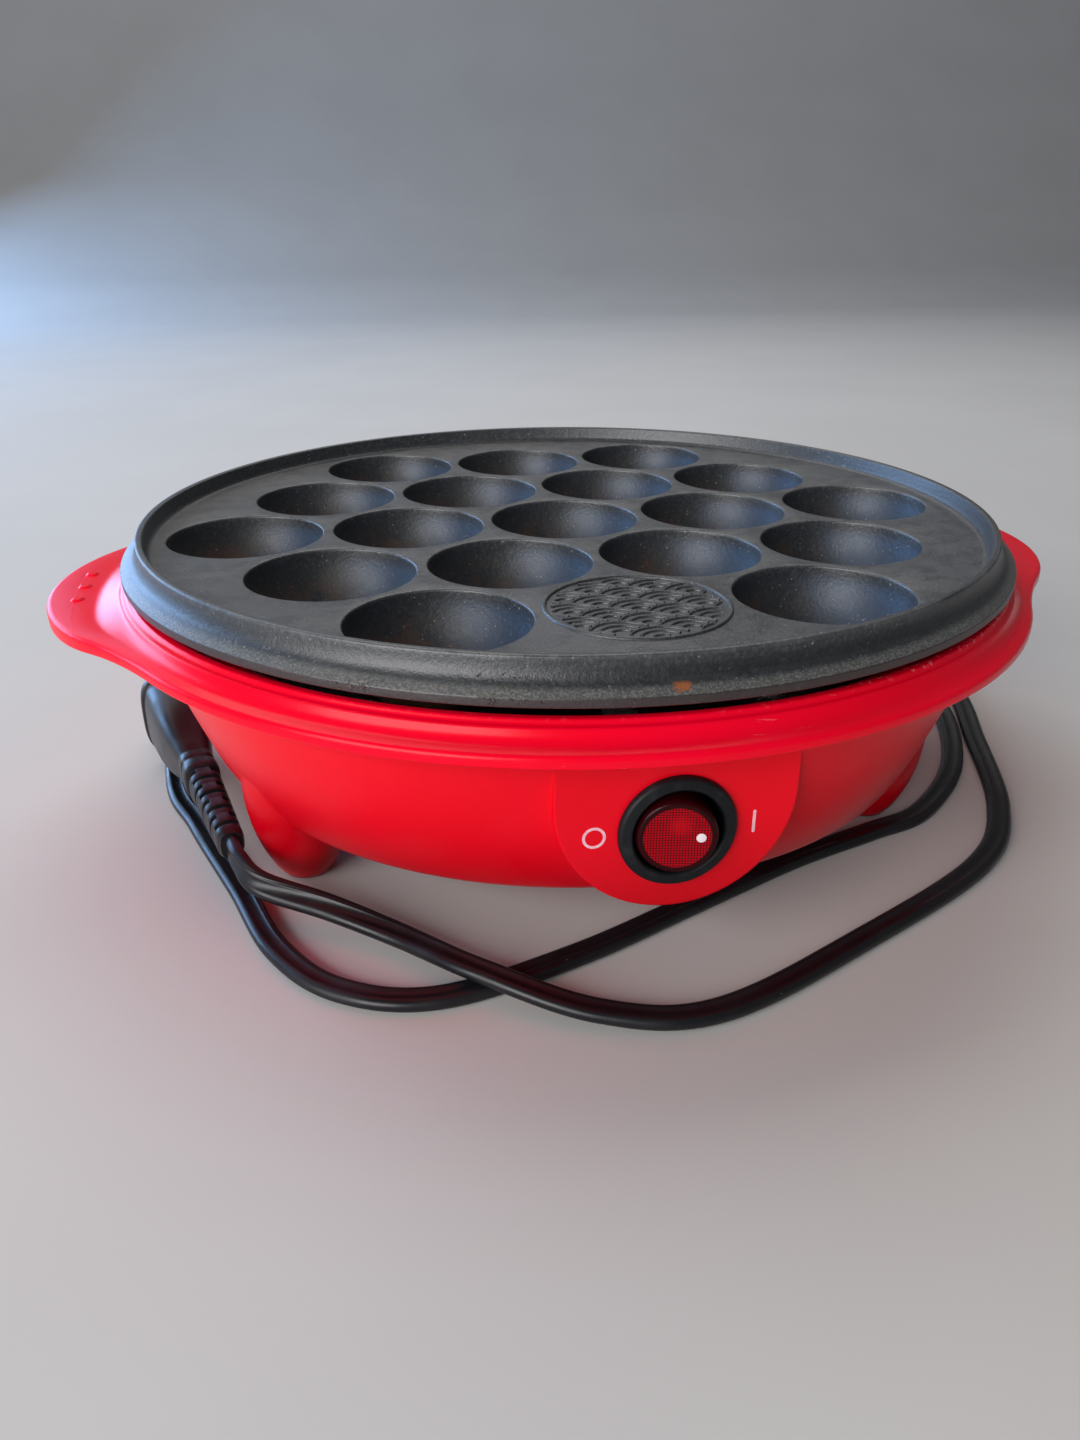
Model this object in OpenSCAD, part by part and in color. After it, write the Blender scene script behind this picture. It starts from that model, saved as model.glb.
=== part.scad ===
// Electric takoyaki maker: a round cast plate of 18 cups on a moulded body with two ear handles.
// Millimetres, +Z up. The origin is on the table under the plate's centre, and the switch faces -Y.

/* [Grill plate] */
// Height of the plate's flat deck above the table
deck_z = 72; // [71:0.5:80]
// Distance between neighbouring cups
cup_pitch = 40.6; // [40:0.1:41.2]
// Radius of a cup's spherical inside
cup_r = 18.1; // [17:0.1:18.3]
// How far a cup's lowest point lies under the deck
cup_depth = 17.5; // [15:0.5:18]
// Thickness of a cup's wall
cup_wall = 1.8; // [1.4:0.1:2]
// Radial width of the eased edge round each cup
cup_ease = 0.9; // [0.5:0.1:1]
// Thickness of the deck
deck_t = 2.4; // [2:0.1:3]
// Outer radius of the lip round the deck
lip_r = 106.2; // [106:0.2:107]
// Width of the lip's flat top
lip_w = 1.6; // [1.2:0.1:2.2]
// Height of the lip above the deck
lip_h = 4.2; // [3:0.2:5]
// Outer radius of the skirt's lower edge
skirt_r = 110.3; // [109.6:0.1:110.6]
// How far the skirt's lower edge lies under the deck
skirt_drop = 4; // [3.5:0.1:4.5]
// Thickness of the skirt
skirt_t = 2.4; // [2:0.1:2.8]
// Radius of the ring cast on the deck, in the empty front place of the cup grid
medallion_r = 19.5; // [15:0.5:20]
// Height of the medallion ring above the deck
medallion_h = 0.5; // [0.3:0.1:0.8]
// Radius of a cast foot under the plate
plate_foot_r = 3.2; // [2.8:0.1:3.4]

/* [Rim and ears] */
// How far the seam between rim and bowl lies under the deck
seam_drop = 13.2; // [12.6:0.1:13.8]
// Outer radius of the rim's flange
rim_r = 115.5; // [114.5:0.1:118]
// Distance from the centre to the tip of an ear
ear_reach = 129.2; // [127:0.2:133]
// Radius of an ear's rounded nose, seen from above
ear_nose_r = 57.5; // [52:0.5:60]
// Radius of the hollow blend between an ear and the flange
ear_blend_r = 150; // [110:5:180]
// How far an ear's top lies under the deck
ear_drop = 10.8; // [10:0.1:12]
// Height of an ear's turned-down edge
ear_edge_h = 3.8; // [3:0.1:5]
// How far the ridge's inner edge lies inside the skirt's outer edge
ridge_inset = 2.7; // [2.4:0.1:3]
// Width of the ridge's flat top
ridge_w = 1.6; // [1.2:0.1:2]
// How far the ridge's top lies under the deck
ridge_drop = 6.3; // [6:0.1:6.6]
// Thickness of the rim's inner ledge
ledge_t = 3.6; // [3:0.1:4]
// Radius of a grip dot on an ear
dot_r = 1.7; // [1.2:0.1:2.2]
// Height of a grip dot
dot_h = 0.6; // [0.3:0.1:0.9]
// Distance between neighbouring grip dots
dot_pitch = 10; // [8:0.5:12]

/* [Bowl] */
// Height of the bowl's underside above the table
bowl_z = 18; // [16:0.5:19]
// Outer radius of the bowl at its underside
bowl_foot_r = 92.5; // [91:0.5:94]
// Outer radius of the bowl at the seam
bowl_top_r = 107; // [106:0.5:108]
// How far the bowl's side bows out of a straight taper
bowl_bow = 0.7; // [0:0.1:1.2]
// Radius of the bowl's rounded bottom edge
bowl_edge_r = 3; // [1.5:0.5:4]
// Wall thickness of the moulded bowl
wall = 2.4; // [2:0.1:2.8]
// How far a leg's axis lies inside the bowl's bottom edge
leg_inset = 8.5; // [8:0.5:10]
// Angle between each leg and the line through the ears
leg_angle = 30; // [26:1:34]
// Radius of a leg where it leaves the bowl
leg_top_r = 13; // [11.5:0.5:13.5]
// Radius of a leg at its foot
leg_foot_r = 5.6; // [5.2:0.2:7]
// Radius of the rubber pad in a leg's foot
pad_r = 4.2; // [3.6:0.1:4.4]
// Height of a rubber pad
pad_h = 1.6; // [1.2:0.1:2]
// How much of the pad sits in the leg
pad_seat = 1; // [0.6:0.1:1.1]
// Half the width of the switch panel, and the radius of its round lower end
panel_r = 24; // [22:0.5:26]
// Distance from the centre to the panel's flat face
panel_y = 102.6; // [102:0.2:103.6]
// How far the middle of the panel's round end lies under the deck
panel_drop = 27.1; // [26:0.5:28]

/* [Heating] */
// Radius of the heating element's loop
heater_ring_r = 52; // [50:0.5:54]
// Radius of the heating element's tube
heater_r = 3.2; // [2.8:0.1:3.5]
// Gap between the cups and the top of the heating element
heater_gap = 1.6; // [1:0.1:2]
// Half the angle left open between the element's two ends
heater_open = 16; // [14:1:20]
// Gap between the heating element and the reflector
heater_lift = 2.1; // [1.5:0.1:2.6]
// Radius of the reflector's flat floor
pan_floor_r = 68; // [67:0.5:70]
// Outer radius of the reflector's lip
pan_r = 96.4; // [95:0.2:97]
// Thickness of the reflector's sheet
pan_t = 0.8; // [0.6:0.1:1]
// Gap between the cups and the reflector's sloping side
pan_gap = 1.1; // [0.8:0.1:1.6]
// Radius of a plate post
post_r = 2.9; // [2.4:0.1:3.2]
// Distance from the centre to each reflector screw
pan_screw_r = 34; // [30:1:38]
// Radius of the thermostat's can
stat_r = 8; // [6.5:0.5:9]
// Height of the thermostat's can
stat_h = 6; // [5:0.5:7]

/* [Switch] */
// How far the switch's middle lies under the deck
switch_drop = 33.8; // [33:0.2:35]
// Outer radius of the switch's bezel
bezel_r = 11.8; // [11:0.1:12.6]
// How far the bezel stands off the panel
bezel_h = 1.8; // [1.2:0.1:2.2]
// Radius of the round opening in the bezel
bezel_bore_r = 9; // [8.9:0.05:9.1]
// Radius of the switch's barrel
barrel_r = 9.9; // [9.7:0.05:10]
// Length of the barrel behind the panel's face
barrel_l = 19.2; // [18:0.2:20]
// Radius of the round rocker
rocker_r = 7.9; // [7.6:0.1:8]
// How far the rocker tilts to each side of its middle
rocker_tilt = 10.5; // [8:0.5:11]
// How far the rocker's flat face stands off the bezel, when upright
rocker_proud = 1.5; // [1:0.1:1.8]
// Distance from the rocker's face to its hinge
rocker_face = 4.8; // [4.4:0.1:5]
// Depth of the rocker behind its hinge
rocker_back = 3.4; // [3:0.1:3.6]
// Radius of the rocker's hinge pins
hinge_r = 1; // [0.8:0.05:1.1]
// Share of the rocker's tilt that the contact lever makes, the other way
lever_ratio = 0.8; // [0.6:0.05:0.9]
// Width of a push-on terminal blade
blade_w = 4.8; // [4:0.2:5]
// Thickness of a push-on terminal blade
blade_t = 0.8; // [0.6:0.1:1]

/* [Cord] */
// Width of the flat twin cord
cord_w = 6; // [5.4:0.2:6.4]
// Thickness of the flat twin cord
cord_t = 3; // [2.6:0.1:3.2]
// Height of the cord's exit above the table
exit_z = 27; // [26:0.5:29]
// Radius of the cord's bushing at the bowl
bushing_r = 5.2; // [4.8:0.1:5.6]
// Length of the bushing outside the bowl
bushing_l = 30; // [22:1:34]
// Width of the plug across its blades
plug_w = 24; // [22:0.5:26]
// Thickness of the plug
plug_t = 16; // [14:0.5:18]
// Length of the plug's body
plug_l = 45; // [42:1:48]
// Length of the plug's slotted sleeve
sleeve_l = 32; // [29:1:34]
// Width of the plug's two blades
plug_blade_w = 6.3; // [6:0.1:6.6]
// Thickness of the plug's blades
plug_blade_t = 1.5; // [1.3:0.1:1.6]
// Length of the plug's blades
plug_blade_l = 17.5; // [16:0.5:18.5]
// Distance between the middles of the plug's blades
plug_blade_pitch = 12.7; // [12:0.1:13.4]

/* [Hidden] */
$fn = 96;

// Clearance between pieces that sit beside each other
gap = 0.3;
// Overlap that makes a cut pass right through a face
cut = 1;
// Radial play of a pin in its bore
pin_play = 0.05;
// Play between the flat ends of two pieces that meet
play = 0.05;

// Places of the 18 cups: five rows of a triangular grid, without the middle one in front
row_h = cup_pitch * sqrt(3) / 2;
cup_rows = [3, 4, 5, 4, 3];
cups = [
  for (row = [0:4])
    for (place = [0:cup_rows[row] - 1])
      if (!(row == 0 && place == 1))
        [(place - (cup_rows[row] - 1) / 2) * cup_pitch, (row - 2) * row_h]
];
medallion_y = -2 * row_h;

// Heights that follow from the deck
cup_z = deck_z - cup_depth + cup_r;
cup_under_z = deck_z - cup_depth - cup_wall;
deck_under_z = deck_z - deck_t;
skirt_z = deck_z - skirt_drop;
seam_z = deck_z - seam_drop;
ear_z = deck_z - ear_drop;
ledge_z = seam_z - 2 * gap + ledge_t;
ridge_z = deck_z - ridge_drop;
switch_z = deck_z - switch_drop;
panel_z = deck_z - panel_drop;
panel_top_z = seam_z - 3 * gap;
floor_z = bowl_z + wall;

// The four plate feet stand between three cups each
foot_x = cup_pitch;
foot_y = 2 * cup_pitch / sqrt(3);

// Heating element, reflector and the posts between reflector and plate
heater_z = cup_under_z - heater_gap - heater_r;
pan_top_z = heater_z - heater_r - heater_lift;
pan_z = pan_top_z - pan_t;
cup_reach_r = 2 * cup_pitch;
cup_outer_r = cup_r + cup_wall;
pan_shelf_z = cup_under_z - pan_gap - pan_t;
pan_lip_in_r = pan_r - 3.4;
pan_lip_z = pan_shelf_z + 2.8;
post_h = 7.2;
plate_foot_z = pan_top_z + post_h;

// Rim ring
ridge_in_r = skirt_r - ridge_inset;
ridge_out_r = ridge_in_r + ridge_w;
register_r = bowl_r(seam_z - 2 * gap) - wall - gap;
ledge_in_r = register_r - 3.2;
lug_ring_r = ledge_in_r - 0.3;
lug_r = 4.2;
screw_r = 1.5;
screw_head_r = 2.9;
screw_head_h = 1.8;
flange_z = seam_z + 2.3;

// Outline of the ears: a nose, a hollow blend on each side, and the flange's own circle
nose_x = ear_reach - ear_nose_r;
blend_far = rim_r + ear_blend_r;
blend_near = ear_nose_r + ear_blend_r;
blend_x = (blend_far * blend_far - blend_near * blend_near + nose_x * nose_x) / (2 * nose_x);
blend_y = sqrt(blend_far * blend_far - blend_x * blend_x);
blend_angle = atan2(blend_y, blend_x);
touch_x = nose_x + ear_nose_r * (blend_x - nose_x) / blend_near;
touch_y = ear_nose_r * blend_y / blend_near;
touch_angle = atan2(touch_y, touch_x);

// Switch
hinge_y = -panel_y - bezel_h - rocker_proud + rocker_face;
terminal_end_y = -panel_y + barrel_l + 7.5;
lever_y = hinge_y + 9;
pivot_r = 0.7;
stem_l = lever_y - hinge_y - 1.5;
terminal_pitch = 6.6;

// Cord exit, clamp and plug
exit_y = bowl_r(exit_z) + 3.5;
exit_in_y = bowl_r(exit_z) - wall - 2.5;
clamp_y = exit_in_y - 12;
clamp_w = 26;
clamp_l = 8;
clamp_screw_x = 9;
split_y = clamp_y - 8;
cap_x = 20;
cap_y = 60;
cap_z = floor_z + 2.6;
cap_l = 10;
core_r = cord_t / 2;
lead_r = 1.2;
// The plug lies on its narrow side: the end of its sleeve, its heading and its rise
plug_place = [-89, -48, 12];
plug_turn = 16;
plug_rise = 2.4;
plug_axis = [
  -sin(plug_turn) * cos(plug_rise), cos(plug_turn) * cos(plug_rise), sin(plug_rise)
];

// Route of the cord from its bushing, round the maker, to the plug's sleeve
cord_lie = cord_t / 2 + play;
cord_route = [
  [0, exit_y + bushing_l + 2 * play, exit_z],
  [0, exit_y + bushing_l + 8, exit_z - 0.5],
  [2, 154, 21],
  [10, 168, 8],
  [36, 175, cord_lie + 0.7],
  [72, 158, cord_lie + 0.05],
  [101, 126, cord_lie],
  [126, 42, cord_lie],
  [124, 9, cord_lie],
  [108, -26, cord_lie],
  [86, -49, cord_lie],
  [68, -56, cord_lie],
  [44, -64, cord_lie],
  [14, -77, cord_lie],
  [-16, -90, cord_lie],
  [-46, -98, cord_lie],
  [-66, -92, cord_lie],
  [-79, -76, cord_lie],
  [-88, -51, cord_lie],
  [-100, -19, cord_lie],
  [-109, 10, cord_lie],
  [-113, 82, cord_lie],
  [-90, 132, cord_lie],
  [0, 188, cord_lie],
  [54, 185, cord_lie],
  [135, 104, cord_lie],
  [140, 56, cord_lie],
  [135.5, 20, cord_lie],
  [123, -13, cord_lie],
  [107, -51, cord_lie],
  [87, -75, cord_lie],
  [46, -97, cord_lie + 0.05],
  [8, -113, cord_lie + 0.3],
  [-16, -110, cord_lie + 1.4],
  [-38, -96, cord_lie + cord_t + 0.9],
  [-53, -80, cord_lie + 3],
  [-67.5, -69.8, cord_lie + 5.2],
  [-82.2, -62, plug_place[2] - 2.4],
  plug_place - 7 * plug_axis,
  plug_place - play * plug_axis
];
// Roll of the cord's flat side: level on the table, on edge where it enters the plug
cord_roll_from = 34;

// Radius of the bowl's outside at height z
function bowl_r(z) =
  let (t = (z - bowl_z) / (seam_z - bowl_z))
  bowl_foot_r + (bowl_top_r - bowl_foot_r) * t + bowl_bow * 4 * t * (1 - t);

// Radius of a leg at height z: nearly straight above, drawn in fast towards the foot
function leg_r(z) =
  let (t = (bowl_z + 9 - z) / (bowl_z + 9))
  leg_top_r - (leg_top_r - leg_foot_r) * pow(max(t, 0), 2.4);

// Radius of the rim's outline in the direction of an angle from the ears' line
function outline_r(angle) =
  let (a = acute(angle))
  a < touch_angle
    ? nose_x * cos(a) + sqrt(pow(ear_nose_r, 2) - pow(nose_x * sin(a), 2))
    : a < blend_angle
      ? blend_x * cos(a) + blend_y * sin(a)
        - sqrt(pow(ear_blend_r, 2) - pow(blend_x * sin(a) - blend_y * cos(a), 2))
      : rim_r;

// Angle to the nearest ear's middle line, from 0 to 90
function acute(angle) = let (a = abs(((angle % 360) + 540) % 360 - 180)) a > 90 ? 180 - a : a;

// Point on a smooth curve through all points of a route, at place u counted in points
function along(route, u) =
  let (
    n = len(route),
    i = min(floor(u), n - 2),
    t = u - i,
    a = route[max(i - 1, 0)],
    b = route[i],
    c = route[i + 1],
    d = route[min(i + 2, n - 1)]
  )
  0.5 * (2 * b + (c - a) * t + (2 * a - 5 * b + 4 * c - d) * t * t
    + (3 * b - a - 3 * c + d) * t * t * t);

// A tube along a route: the outline is swept and stays level, apart from a roll per ring
module sweep(route, outline, rings, roll_from, roll_to) {
  last = len(route) - 1;
  n = len(outline);
  points = [
    for (k = [0:rings])
      let (
        u = last * k / rings,
        p = along(route, u),
        q = along(route, min(u + 0.02, last)) - along(route, max(u - 0.02, 0)),
        t = q / norm(q),
        s = cross(t, [0, 0, 1]),
        side = norm(s) < 0.05 ? [1, 0, 0] : s / norm(s),
        up = cross(side, t),
        roll = roll_to * ease(max(0, (u - roll_from) / (last - roll_from)))
      )
      for (o = outline)
        p + side * (o[0] * cos(roll) - o[1] * sin(roll))
          + up * (o[0] * sin(roll) + o[1] * cos(roll))
  ];
  faces = concat(
    [[for (j = [n - 1:-1:0]) j]],
    [
      for (k = [0:rings - 1])
        for (j = [0:n - 1])
          let (a = k * n + j, b = k * n + (j + 1) % n)
          each [[a, b, b + n], [a, b + n, a + n]]
    ],
    [[for (j = [0:n - 1]) rings * n + j]]
  );
  polyhedron(points, faces);
}

// Outline of a round lead, and of the flat twin cord with its two cores and the groove between
function round_outline(r) = [for (a = [0:45:315]) [r * cos(a), r * sin(a)]];
function twin_outline() =
  let (r = cord_t / 2, x = cord_w / 2 - r)
  concat(
    [for (a = [-90:45:90]) [x + r * cos(a), r * sin(a)]],
    [[0, r * 0.62]],
    [for (a = [90:45:270]) [-x + r * cos(a), r * sin(a)]],
    [[0, -r * 0.62]]
  );

function mix(a, b, t) = a + (b - a) * t;
function ease(t) = t * t * (3 - 2 * t);

// Points of a quarter round from angle a to b, of radius r, about [x, z]
function arc_points(x, z, r, a, b, n) = [
  for (i = [0:n]) [x + r * cos(mix(a, b, i / n)), z + r * sin(mix(a, b, i / n))]
];

// A copy of the children at each plate foot
module at_feet() {
  for (x = [-foot_x, foot_x], y = [-foot_y, foot_y])
    translate([x, y, 0]) children();
}

// A copy of the children at each leg, turned so that +X points outwards
module at_legs(r) {
  for (a = [leg_angle, 180 - leg_angle, 180 + leg_angle, 360 - leg_angle])
    rotate(a) translate([r, 0, 0]) children();
}

// Three reflector screws
module at_pan_screws() {
  for (a = [30, 150, 270]) rotate(a) translate([pan_screw_r, 0, 0]) children();
}

// ---- Grill plate ----

plate_profile = concat(
  [[0, deck_z], [lip_r - lip_w - 3.4, deck_z]],
  arc_points(lip_r - lip_w - 3.4, deck_z + 3, 3, -90, 0, 4),
  [
    [lip_r - lip_w, deck_z + lip_h - 0.2],
    [lip_r - lip_w + 0.2, deck_z + lip_h],
    [lip_r - 0.3, deck_z + lip_h],
    [lip_r, deck_z + lip_h - 0.3],
    [mix(lip_r, skirt_r, 0.08), deck_z + lip_h * 0.5],
    [mix(lip_r, skirt_r, 0.2), deck_z + lip_h * 0.12],
    [mix(lip_r, skirt_r, 0.42), mix(deck_z, skirt_z, 0.18)],
    [mix(lip_r, skirt_r, 0.72), mix(deck_z, skirt_z, 0.38)],
    [skirt_r, mix(deck_z, skirt_z, 0.58)],
    [skirt_r, skirt_z],
    [skirt_r - skirt_t, skirt_z],
    [skirt_r - skirt_t - 0.6, skirt_z + 1.2],
    [lip_r - skirt_t, deck_under_z],
    [0, deck_under_z]
  ]
);

// Outside of one cup, hanging under the deck
module cup_shell() {
  intersection() {
    translate([0, 0, cup_z]) sphere(cup_outer_r);
    translate([0, 0, cup_under_z - cut])
      cylinder(r = cup_outer_r + cut, h = deck_z - deck_t / 2 - cup_under_z + cut);
  }
}

// Hollow of one cup with its eased edge
module cup_hollow() {
  intersection() {
    translate([0, 0, cup_z]) sphere(cup_r);
    translate([0, 0, cup_under_z]) cylinder(r = cup_r + cut, h = deck_z + cut - cup_under_z);
  }
  translate([0, 0, deck_z - cup_ease])
    cylinder(r1 = cup_r - 0.15, r2 = cup_r + cup_ease, h = cup_ease + 0.001);
}

module grill_plate() {
  color([0.2, 0.2, 0.21])
  difference() {
    union() {
      rotate_extrude() polygon(plate_profile);
      for (c = cups) translate([c[0], c[1], 0]) cup_shell();
      at_feet() translate([0, 0, plate_foot_z])
        cylinder(r = plate_foot_r, h = deck_under_z + 0.5 - plate_foot_z);
      translate([0, medallion_y, deck_z - 0.4]) difference() {
        cylinder(r = medallion_r, h = 0.4 + medallion_h);
        translate([0, 0, -cut]) cylinder(r = medallion_r - 0.9, h = 2 * cut + medallion_h);
      }
    }
    for (c = cups) translate([c[0], c[1], 0]) cup_hollow();
  }
}

// ---- Rim ring with its two ears ----

// Section of the rim at one angle, from the inner ledge out, over the ridge and back
function rim_section(angle) =
  let (
    ro = outline_r(angle),
    e = ease(min(1, (ro - rim_r) / (ear_reach - rim_r) * 1.25)),
    zt = mix(flange_z, ear_z, e),
    zb = mix(seam_z, ear_z - ear_edge_h, e)
  )
  [
    [ledge_in_r, seam_z - 2 * gap],
    [register_r, seam_z - 2 * gap],
    [register_r, seam_z],
    [bowl_top_r + 1, seam_z],
    [ro - 5, mix(seam_z, seam_z - 0.9, e)],
    [ro - 2.3, mix(seam_z, ear_z - 2, e)],
    [ro - 2.1, zb],
    [ro - 0.2, zb],
    [ro, zb + 0.3],
    [ro, zt - 1.2],
    [ro - 0.25, zt - 0.55],
    [ro - 0.75, zt - 0.12],
    [ro - 1.4, zt + 0.05],
    [mix(ridge_out_r + 4, ro - 6, e), mix(flange_z + 0.35, ear_z, e)],
    [mix(ridge_out_r + 3.2, ridge_out_r + 6, e), mix(flange_z + 0.9, ear_z + 0.4, e)],
    [ridge_out_r + 2.2, mix(flange_z + 1.9, ear_z + 2.6, e)],
    [ridge_out_r + 1.4, ridge_z - 1.3],
    [ridge_out_r + 0.4, ridge_z - 0.25],
    [ridge_out_r - 0.1, ridge_z],
    [ridge_in_r + 0.3, ridge_z],
    [ridge_in_r, ridge_z - 0.3],
    [ridge_in_r, ledge_z],
    [ledge_in_r, ledge_z]
  ];

rim_steps = 120;
rim_sections = [for (i = [0:rim_steps - 1]) rim_section(i * 360 / rim_steps)];
rim_count = len(rim_sections[0]);

module rim_loft() {
  points = [
    for (i = [0:rim_steps - 1])
      for (p = rim_sections[i])
        [p[0] * cos(i * 360 / rim_steps), p[0] * sin(i * 360 / rim_steps), p[1]]
  ];
  faces = [
    for (i = [0:rim_steps - 1])
      for (j = [0:rim_count - 1])
        let (
          a = i * rim_count + j,
          b = i * rim_count + (j + 1) % rim_count,
          c = ((i + 1) % rim_steps) * rim_count + (j + 1) % rim_count,
          d = ((i + 1) % rim_steps) * rim_count + j
        )
        each [[a, b, c], [a, c, d]]
  ];
  polyhedron(points, faces);
}

module rim_ring() {
  color([0.86, 0.02, 0.08])
  difference() {
    union() {
      rim_loft();
      intersection() {
        at_legs(lug_ring_r) translate([0, 0, seam_z - 2 * gap]) cylinder(r = lug_r, h = ledge_t);
        translate([0, 0, seam_z - cut]) cylinder(r = ledge_in_r + 1.6, h = ledge_t + 2 * cut);
      }
      for (side = [-1, 1], k = [-1:1])
        translate([side * (ear_reach - 8.2), k * dot_pitch, ear_z - 0.4])
          cylinder(r1 = dot_r, r2 = dot_r * 0.6, h = dot_h + 0.4);
    }
    at_legs(lug_ring_r) translate([0, 0, seam_z - 2 * gap - cut])
      cylinder(r = screw_r + 0.2, h = ledge_t + 2 * cut);
  }
}

module rim_screws() {
  color([0.7, 0.7, 0.72])
  at_legs(lug_ring_r) {
    translate([0, 0, seam_z - 10]) cylinder(r = screw_r, h = 10 + ledge_z - seam_z);
    translate([0, 0, ledge_z]) cylinder(r = screw_head_r, h = screw_head_h);
  }
}

// ---- Bowl with legs and switch panel ----

bowl_steps = 8;
bowl_outer = concat(
  [[0, bowl_z], [bowl_foot_r - bowl_edge_r, bowl_z]],
  [
    for (i = [1:3])
      [
        bowl_foot_r - bowl_edge_r + (bowl_edge_r + 0.5) * sin(i * 24),
        bowl_z + bowl_edge_r - bowl_edge_r * cos(i * 24)
      ]
  ],
  [
    for (i = [1:bowl_steps])
      let (z = mix(bowl_z + bowl_edge_r, seam_z, i / bowl_steps)) [bowl_r(z), z]
  ],
  [[0, seam_z]]
);
bowl_inner = concat(
  [[0, floor_z]],
  [
    for (i = [0:bowl_steps])
      let (z = mix(floor_z, seam_z, i / bowl_steps))
      [bowl_r(z) - wall - (i == 0 ? 1.5 : 0), z]
  ],
  [[bowl_top_r - wall, seam_z + cut], [0, seam_z + cut]]
);

leg_steps = 9;
leg_top_z = bowl_z + 20;
leg_outer = concat(
  [[0, pad_h - pad_seat], [leg_foot_r, pad_h - pad_seat]],
  [
    for (i = [1:leg_steps])
      let (z = mix(pad_h - pad_seat, bowl_z + 9, i / leg_steps)) [leg_r(z), z]
  ],
  [[leg_top_r, leg_top_z], [0, leg_top_z]]
);
leg_inner = concat(
  [[0, pad_h + 1.6]],
  [
    for (i = [1:leg_steps])
      let (z = mix(pad_h + 1.6, bowl_z + 9, i / leg_steps)) [leg_r(z) - wall, z]
  ],
  [[leg_top_r - wall, leg_top_z - wall], [0, leg_top_z - wall]]
);

// U-shaped outline of the switch panel, drawn smaller by an inset, up to height top
module panel_outline(inset, top) {
  intersection() {
    translate([0, panel_z]) circle(panel_r - inset);
    translate([-panel_r, panel_z - panel_r]) square([2 * panel_r, panel_r + 1]);
  }
  translate([inset - panel_r, panel_z]) square([2 * (panel_r - inset), top - panel_z]);
}

// Extrudes an outline drawn in x and z from y1 to y2
module along_y(y1, y2) {
  translate([0, y2, 0]) rotate([90, 0, 0]) linear_extrude(y2 - y1) children();
}

module panel_block() {
  difference() {
    along_y(-panel_y, -bowl_foot_r + 6) panel_outline(0, panel_top_z);
    rotate_extrude() polygon(concat(
      [[0, bowl_z - cut]],
      [
        for (i = [0:bowl_steps])
          let (z = mix(bowl_z, seam_z, i / bowl_steps))
          [min(bowl_r(z) - wall / 2, pan_r + 1.6), z]
      ],
      [[pan_r + 1.6, seam_z + cut], [0, seam_z + cut]]
    ));
  }
}

// Ribs inside the bowl's wall that carry the reflector's lip
module pan_ribs() {
  for (a = [0:60:300]) rotate(a)
    translate([pan_lip_in_r + 0.8, -1.2, pan_lip_z - 12])
      cube([bowl_r(pan_lip_z - 12) - wall / 2 - pan_lip_in_r, 2.4, 12]);
}

module base_bowl() {
  color([0.8, 0.03, 0.09])
  difference() {
    union() {
      difference() {
        union() {
          rotate_extrude() polygon(bowl_outer);
          at_legs(bowl_foot_r - leg_inset) rotate_extrude() polygon(leg_outer);
        }
        rotate_extrude() polygon(bowl_inner);
        at_legs(bowl_foot_r - leg_inset) rotate_extrude() polygon(leg_inner);
      }
      panel_block();
      pan_ribs();
      at_pan_screws() translate([0, 0, floor_z - cut])
        cylinder(r = 4.4, h = pan_z - floor_z + cut);
      intersection() {
        translate([0, 0, seam_z - 14])
          cylinder(r1 = bowl_r(seam_z - 14) - 1, r2 = bowl_r(seam_z) - 1, h = 14);
        at_legs(lug_ring_r) translate([0, 0, seam_z - 13])
          cylinder(r = lug_r, h = 13 - 2 * gap);
      }
      translate([-clamp_w / 2, clamp_y - clamp_l / 2, floor_z - cut])
        cube([clamp_w, clamp_l, exit_z - cord_t / 2 - floor_z + cut]);
      translate([0, exit_in_y, exit_z]) rotate([-90, 0, 0])
        cylinder(r = bushing_r + 3.2, h = exit_y - exit_in_y);
    }
    along_y(-panel_y + wall, -bowl_foot_r + 6) panel_outline(wall, panel_top_z + cut);
    along_y(-bowl_top_r - 12, -panel_y) panel_outline(0, seam_z + cut);
    along_y(-panel_y - cut, -panel_y + wall + cut) translate([0, switch_z])
      circle(barrel_r + 0.1);
    translate([0, exit_in_y - cut, exit_z]) rotate([-90, 0, 0])
      cylinder(r = bushing_r + gap, h = exit_y - exit_in_y + 2 * cut);
    translate([0, exit_in_y - 2 - cut, exit_z]) rotate([-90, 0, 0])
      cylinder(r = bushing_r + 1.6 + gap, h = 2 + cut);
    at_legs(bowl_foot_r - leg_inset) translate([0, 0, -cut])
      cylinder(r = pad_r + 0.05, h = pad_h + cut);
    at_legs(lug_ring_r) translate([0, 0, seam_z - 10.5]) cylinder(r = screw_r, h = 12);
    for (side = [-1, 1]) translate([side * clamp_screw_x, clamp_y, floor_z - 1])
      cylinder(r = 1.2, h = 10);
    at_pan_screws() translate([0, 0, pan_z - 9]) cylinder(r = screw_r, h = 10);
  }
}

module foot_pads() {
  color([0.12, 0.12, 0.12])
  at_legs(bowl_foot_r - leg_inset) cylinder(r = pad_r, h = pad_h);
}

// ---- Reflector, posts and heating element ----

// Radius of the bends at the element's two cold ends
elbow_r = 5;

// A copy of the children at each cold end of the element
module at_heater_ends() {
  for (side = [0, 1]) mirror([side, 0, 0]) rotate(90 - heater_open)
    translate([heater_ring_r, elbow_r, 0]) children();
}

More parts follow.
